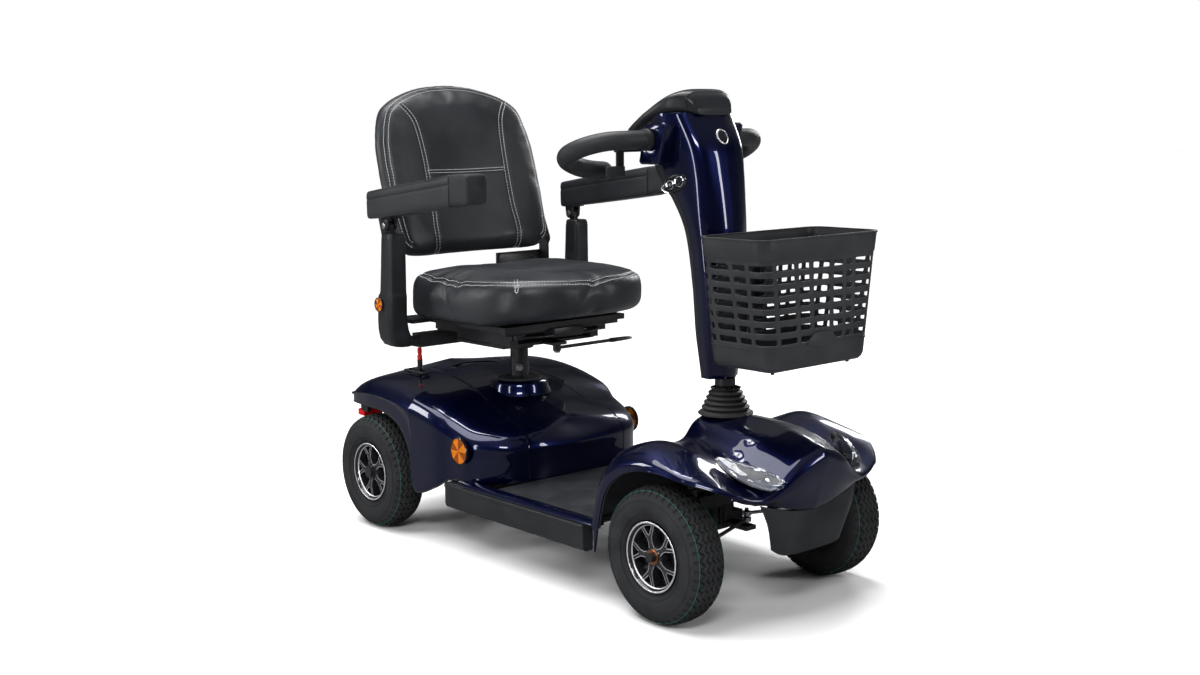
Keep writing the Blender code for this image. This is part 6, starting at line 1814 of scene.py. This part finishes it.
def build_seat_frame():
    """Rear shell with its edge roll, hinge caps, recliner plate and the details under the seat."""
    shell = slab("backrest_rear_shell", back_outline(0.011), "XZ", 0.0003, 0.0050)
    shell.data.transform(LEAN)
    bevel(shell, 0.0016, 3, 40)
    for side in (1, -1):
        ears = sorted((side * 0.2184, side * 0.2234))
        outline = arc((0, 0), 0.013, 180, 360, 24) + [(0.0125, 0.098), (0.0030, 0.104), (-0.0030, 0.098)]
        plate = slab("fold_plate", outline, "YZ", *ears)
        bridge = sorted((side * 0.150, side * 0.2230))
        strap = box("fold_bridge", (bridge[0], 0.0015, 0.070), (bridge[1], 0.0110, 0.096))
        for piece in (plate, strap):
            piece.data.transform(LEAN)
            cut(shell, piece, operation="UNION")
    add(shell, PLASTIC, "backrest", "backrest_shell")
    caps = []
    for side in (1, -1):
        caps.append(turned("cap", [(0.0, 0.0040), (0.0040, 0.0038), (0.0062, 0.0026), (0.0068, 0.0)],
                           (side * 0.2230, FOLD.y, FOLD.z), X_AXIS * side, 32))
    add(joined("fold_pin_caps", caps), ZINC, "backrest")

    plate = []
    outline = [(0.089, 0.474), (0.089, 0.585), (0.094, 0.594), (0.208, 0.594), (0.2145, 0.585), (0.2145, 0.474)]
    plate.append(bevel(slab("recliner_panel", outline, "XZ", 0.4222, 0.4238), 0.0006, 2))
    for x, z in ((0.185, 0.583), (0.198, 0.578), (0.185, 0.565), (0.110, 0.500)):
        plate.append(bevel(rod("rivet", (x, 0.4242, z), (x, 0.4195, z), 0.0036, 24), 0.0008, 2))
    add(joined("recliner_plate_face", plate), POWDER, "chair")

    under = []
    for x in (-0.111, 0.111):
        under.append(bevel(box("rail_cap", (x - 0.012, 0.085, 0.4475), (x + 0.012, 0.0990, 0.4650)), 0.001, 2))
    under.append(tube("latch_wire", [(-0.105, 0.085, 0.452), (-0.060, 0.066, 0.452), (0.060, 0.066, 0.452),
                                     (0.105, 0.085, 0.452)], 0.0028, 16))
    under.append(rounded_box("latch_plate", (-0.040, 0.062, 0.4470), (0.040, 0.1000, 0.4675), 0.002, 2))
    under.append(rounded_box("front_crossbar", (-0.155, 0.080, 0.4590), (0.155, 0.1000, 0.4690), 0.002, 2))
    add(joined("seat_slide_latch", under), POWDER, "chair")
    spring = [Vector((0.020 + 0.0006 * t, 0.0700, 0.4560)) + Vector((0, 0.0035 * math.cos(t), 0.0035 * math.sin(t)))
              for t in np.linspace(0, 2 * math.pi * 9, 200)]
    fixings = [tube("latch_spring", spring, 0.0007, 8)]
    for x in (-0.111, 0.111):
        for y in (0.120, 0.300):
            fixings.append(bevel(rod("bolt", (x, y, 0.4795), (x, y, 0.4820), 0.0055, 6), 0.0005, 1))
    add(joined("seat_fixings", fixings), ZINC, "chair")
    pivot_bits = [
        bevel(rod("lever_nut", (0, 0.104, 0.4110), (0, 0.104, 0.4072), 0.0075, 6), 0.0006, 1),
        bevel(rod("clamp_bolt", (-0.036, 0.2375, 0.4150), (-0.026, 0.2375, 0.4150), 0.0050, 6), 0.0005, 1),
    ]
    add(joined("swivel_nuts", pivot_bits), ZINC, "swivel", (), 30)
    rings = []
    for x, half_y, half_z in ((0.150, 0.0042, 0.0042), (0.156, 0.0078, 0.0052), (0.166, 0.0128, 0.0046),
                              (0.182, 0.0150, 0.0038), (0.198, 0.0146, 0.0034), (0.209, 0.0108, 0.0030),
                              (0.2145, 0.0040, 0.0018)):
        rings.append([Vector((x, 0.104 + half_y * math.cos(a), 0.4175 + half_z * math.sin(a)))
                      for a in np.linspace(0, 2 * math.pi, 32, endpoint=False)])
    paddle = loft("lever_paddle", rings)
    stem = rod("lever_stem", (0.0, 0.104, 0.4175), (0.158, 0.104, 0.4175), 0.0038, 24)
    boss = rod("lever_boss", (0.0, 0.104, 0.4115), (0.0, 0.104, 0.4244), 0.009, 32)
    add(joined("swivel_lever_handle", [paddle, stem, boss]), POWDER, "swivel_lever", "swivel_lever", 40)


ARM_PIVOT = Vector((0, 0.350, 0.684))
ARM_X, ARM_PAD_OFFSET, ARM_PAD_HALF = 0.2556, 0.0115, 0.027
SOCKET_Y, SOCKET_Z = 0.360, 0.428


def build_arms():
    for side, word in SIDES:
        x = side * ARM_X
        sections = [  # z, y, half depth, half width, x of the centre
            (0.4180, 0.362, 0.016, 0.012, 0.226), (0.4200, 0.3615, 0.020, 0.020, 0.2290),
            (0.4260, 0.3605, 0.024, 0.027, 0.2350), (0.4400, 0.3570, 0.0275, 0.0285, 0.2440),
            (0.4580, 0.3525, 0.0288, 0.0258, 0.2520), (0.4800, 0.3490, 0.0292, 0.0240, 0.2562),
            (0.5050, 0.3470, 0.0296, 0.0232, 0.2568), (0.5300, 0.3450, 0.0300, 0.0226, 0.2570),
            (0.5345, 0.3442, 0.0290, 0.0224, 0.2570), (0.5385, 0.3425, 0.0262, 0.0220, 0.2568),
            (0.5440, 0.3418, 0.0248, 0.0218, 0.2566), (0.6000, 0.3390, 0.0232, 0.0211, 0.2560),
            (0.6560, 0.3366, 0.0217, 0.0206, ARM_X), (0.6650, 0.3365, 0.0208, 0.0196, ARM_X),
            (0.6692, 0.3365, 0.0192, 0.0182, ARM_X), (0.6700, 0.3365, 0.0178, 0.0170, ARM_X),
        ]
        rings = [rounded_ring((side * cx, y, z), w, d, "XY", 64, 5.0) for z, y, d, w, cx in sections]
        post = loft(f"arm_post_cover_{word}", rings)
        add(post, SATIN_PLASTIC, f"arm_{word}_slide", f"arm_post_{word}", 50)
        bar = 0.0102
        ends = sorted((side * 0.100, side * 0.236))
        steel = [bevel(box("arm_bar", (ends[0], SOCKET_Y - bar, SOCKET_Z - bar),
                           (ends[1], SOCKET_Y + bar, SOCKET_Z + bar)),
                       0.0012, 2)]
        lug = arc((ARM_PIVOT.y, ARM_PIVOT.z), 0.010, -10, 190, 24)
        lug += [(ARM_PIVOT.y - 0.012, 0.668), (ARM_PIVOT.y + 0.0045, 0.668)]
        steel.append(bevel(slab("arm_lug", lug, "YZ", x - 0.006, x + 0.006), 0.0008, 2))
        pin = Vector((x, ARM_PIVOT.y, ARM_PIVOT.z))
        add(joined(f"arm_post_steel_{word}", steel), POWDER, f"arm_{word}_slide")
        pins = [rod("arm_pin", pin - X_AXIS * 0.0140, pin + X_AXIS * 0.0140, 0.0045, 24)]
        pins.append(bevel(rod("head", pin - X_AXIS * 0.0128, pin - X_AXIS * 0.0160, 0.0070, 32), 0.0008, 2))
        pins.append(bevel(rod("nut", pin + X_AXIS * 0.0128, pin + X_AXIS * 0.0165, 0.0068, 6), 0.0006, 1))
        add(joined(f"arm_pivot_pin_{word}", pins), ZINC, f"arm_{word}_slide", (), 30)
        build_reflector(f"arm_reflector_{word}", Vector((side * 0.2790, 0.3600, 0.5150)), Vector((side, 0.0, 0)),
                        0.0155,
                        f"arm_{word}_slide")
        build_armrest(side, word, x)


def build_armrest(side, word, x):
    centre_x = x + side * ARM_PAD_OFFSET
    stations = [  # y, low z, high z
        (0.3775, 0.7000, 0.7560), (0.3740, 0.6985, 0.7580), (0.3000, 0.7063, 0.7690), (0.2000, 0.7180, 0.7815),
        (0.1200, 0.7278, 0.7925), (0.0790, 0.7330, 0.7980), (0.0745, 0.7340, 0.7985),
    ]
    dense = []
    for (y0, a0, b0), (y1, a1, b1) in zip(stations, stations[1:]):
        for t in np.linspace(0, 1, 5, endpoint=False):
            dense.append((y0 + (y1 - y0) * t, a0 + (a1 - a0) * t, b0 + (b1 - b0) * t))
    dense.append(stations[-1])
    rings = []
    for i, (y, low, high) in enumerate(dense):
        end = min(1, (i + 0.4) / 3, (len(dense) - i - 0.6) / 3)
        pull = 0.0022 * (1 - min(1, end)) ** 2
        half = ARM_PAD_HALF - pull
        crown = 0.0012
        low, high = low + pull, high - pull
        section = []
        for u, v in (
            (-1, 0.12), (-1, 0.30), (-1, 0.52), (-1.0, 0.66), (-0.955, 0.685), (-0.955, 0.700), (-1.0, 0.725),
            (-1, 0.88),
            (-0.93, 0.965), (-0.80, 1.0), (-0.40, 1.0 + crown), (0.40, 1.0 + crown), (0.80, 1.0), (0.93, 0.965),
            (1, 0.88),
            (1.0, 0.725), (0.955, 0.700), (0.955, 0.685), (1.0, 0.66), (1, 0.52), (1, 0.30), (1, 0.12), (0.94, 0.03),
            (0.82, 0.0), (0.4, 0.0), (-0.4, 0.0), (-0.82, 0.0), (-0.94, 0.03),
        ):
            section.append(Vector((centre_x + u * half, y, low + v * (high - low))))
        rings.append(section)
    pad = subdivide(loft(f"armrest_pad_{word}", rings), 2)
    for face in pad.data.polygons:
        face.use_smooth = True
    piece = add(pad, VINYL, f"arm_{word}", f"armrest_{word}", 60)

    block = []
    for y, low, high, half in (
        (0.0765, 0.7350, 0.7970, 0.0245), (0.0740, 0.7335, 0.7985, 0.0255), (0.0700, 0.7350, 0.7992, 0.0262),
        (0.0620, 0.7370, 0.7995, 0.0268), (0.0500, 0.7388, 0.8002, 0.0270), (0.0280, 0.7388, 0.8014, 0.0270),
        (0.0190, 0.7400, 0.8008, 0.0264), (0.0150, 0.7440, 0.7975, 0.0245), (0.0140, 0.7490, 0.7930, 0.0215),
    ):
        block.append(rounded_ring((centre_x, y, (low + high) / 2), half, (high - low) / 2, "XZ", 64, 7.0))
    front = add(subdivide(loft(f"armrest_front_block_{word}", block), 1), PAD_RUBBER, f"arm_{word}", (), 60)
    hardware = []
    for cheek in (-1, 1):
        near, far = sorted((x + cheek * 0.0068, x + cheek * 0.0125))
        shape = arc((ARM_PIVOT.y, ARM_PIVOT.z), 0.011, 180, 360, 24)
        shape += [(ARM_PIVOT.y + 0.014, 0.7065), (ARM_PIVOT.y - 0.014, 0.7100)]
        hardware.append(bevel(slab("cheek", shape, "YZ", near, far), 0.0008, 2))
    hardware.append(rounded_box("pad_plate", (x - 0.0150, 0.326, 0.7010), (x + 0.0150, 0.374, 0.7060), 0.001, 2))
    add(joined(f"armrest_bracket_{word}", hardware), POWDER, f"arm_{word}")

build_camera()
build_studio()
coat_cad_nodes()
for build in (
    build_wheels, build_rear_body, build_front_body, build_sills_and_floor, build_tiller, build_gaiter, build_basket,
    build_cushion, build_backrest, build_seat_frame, build_arms,
):
    build()
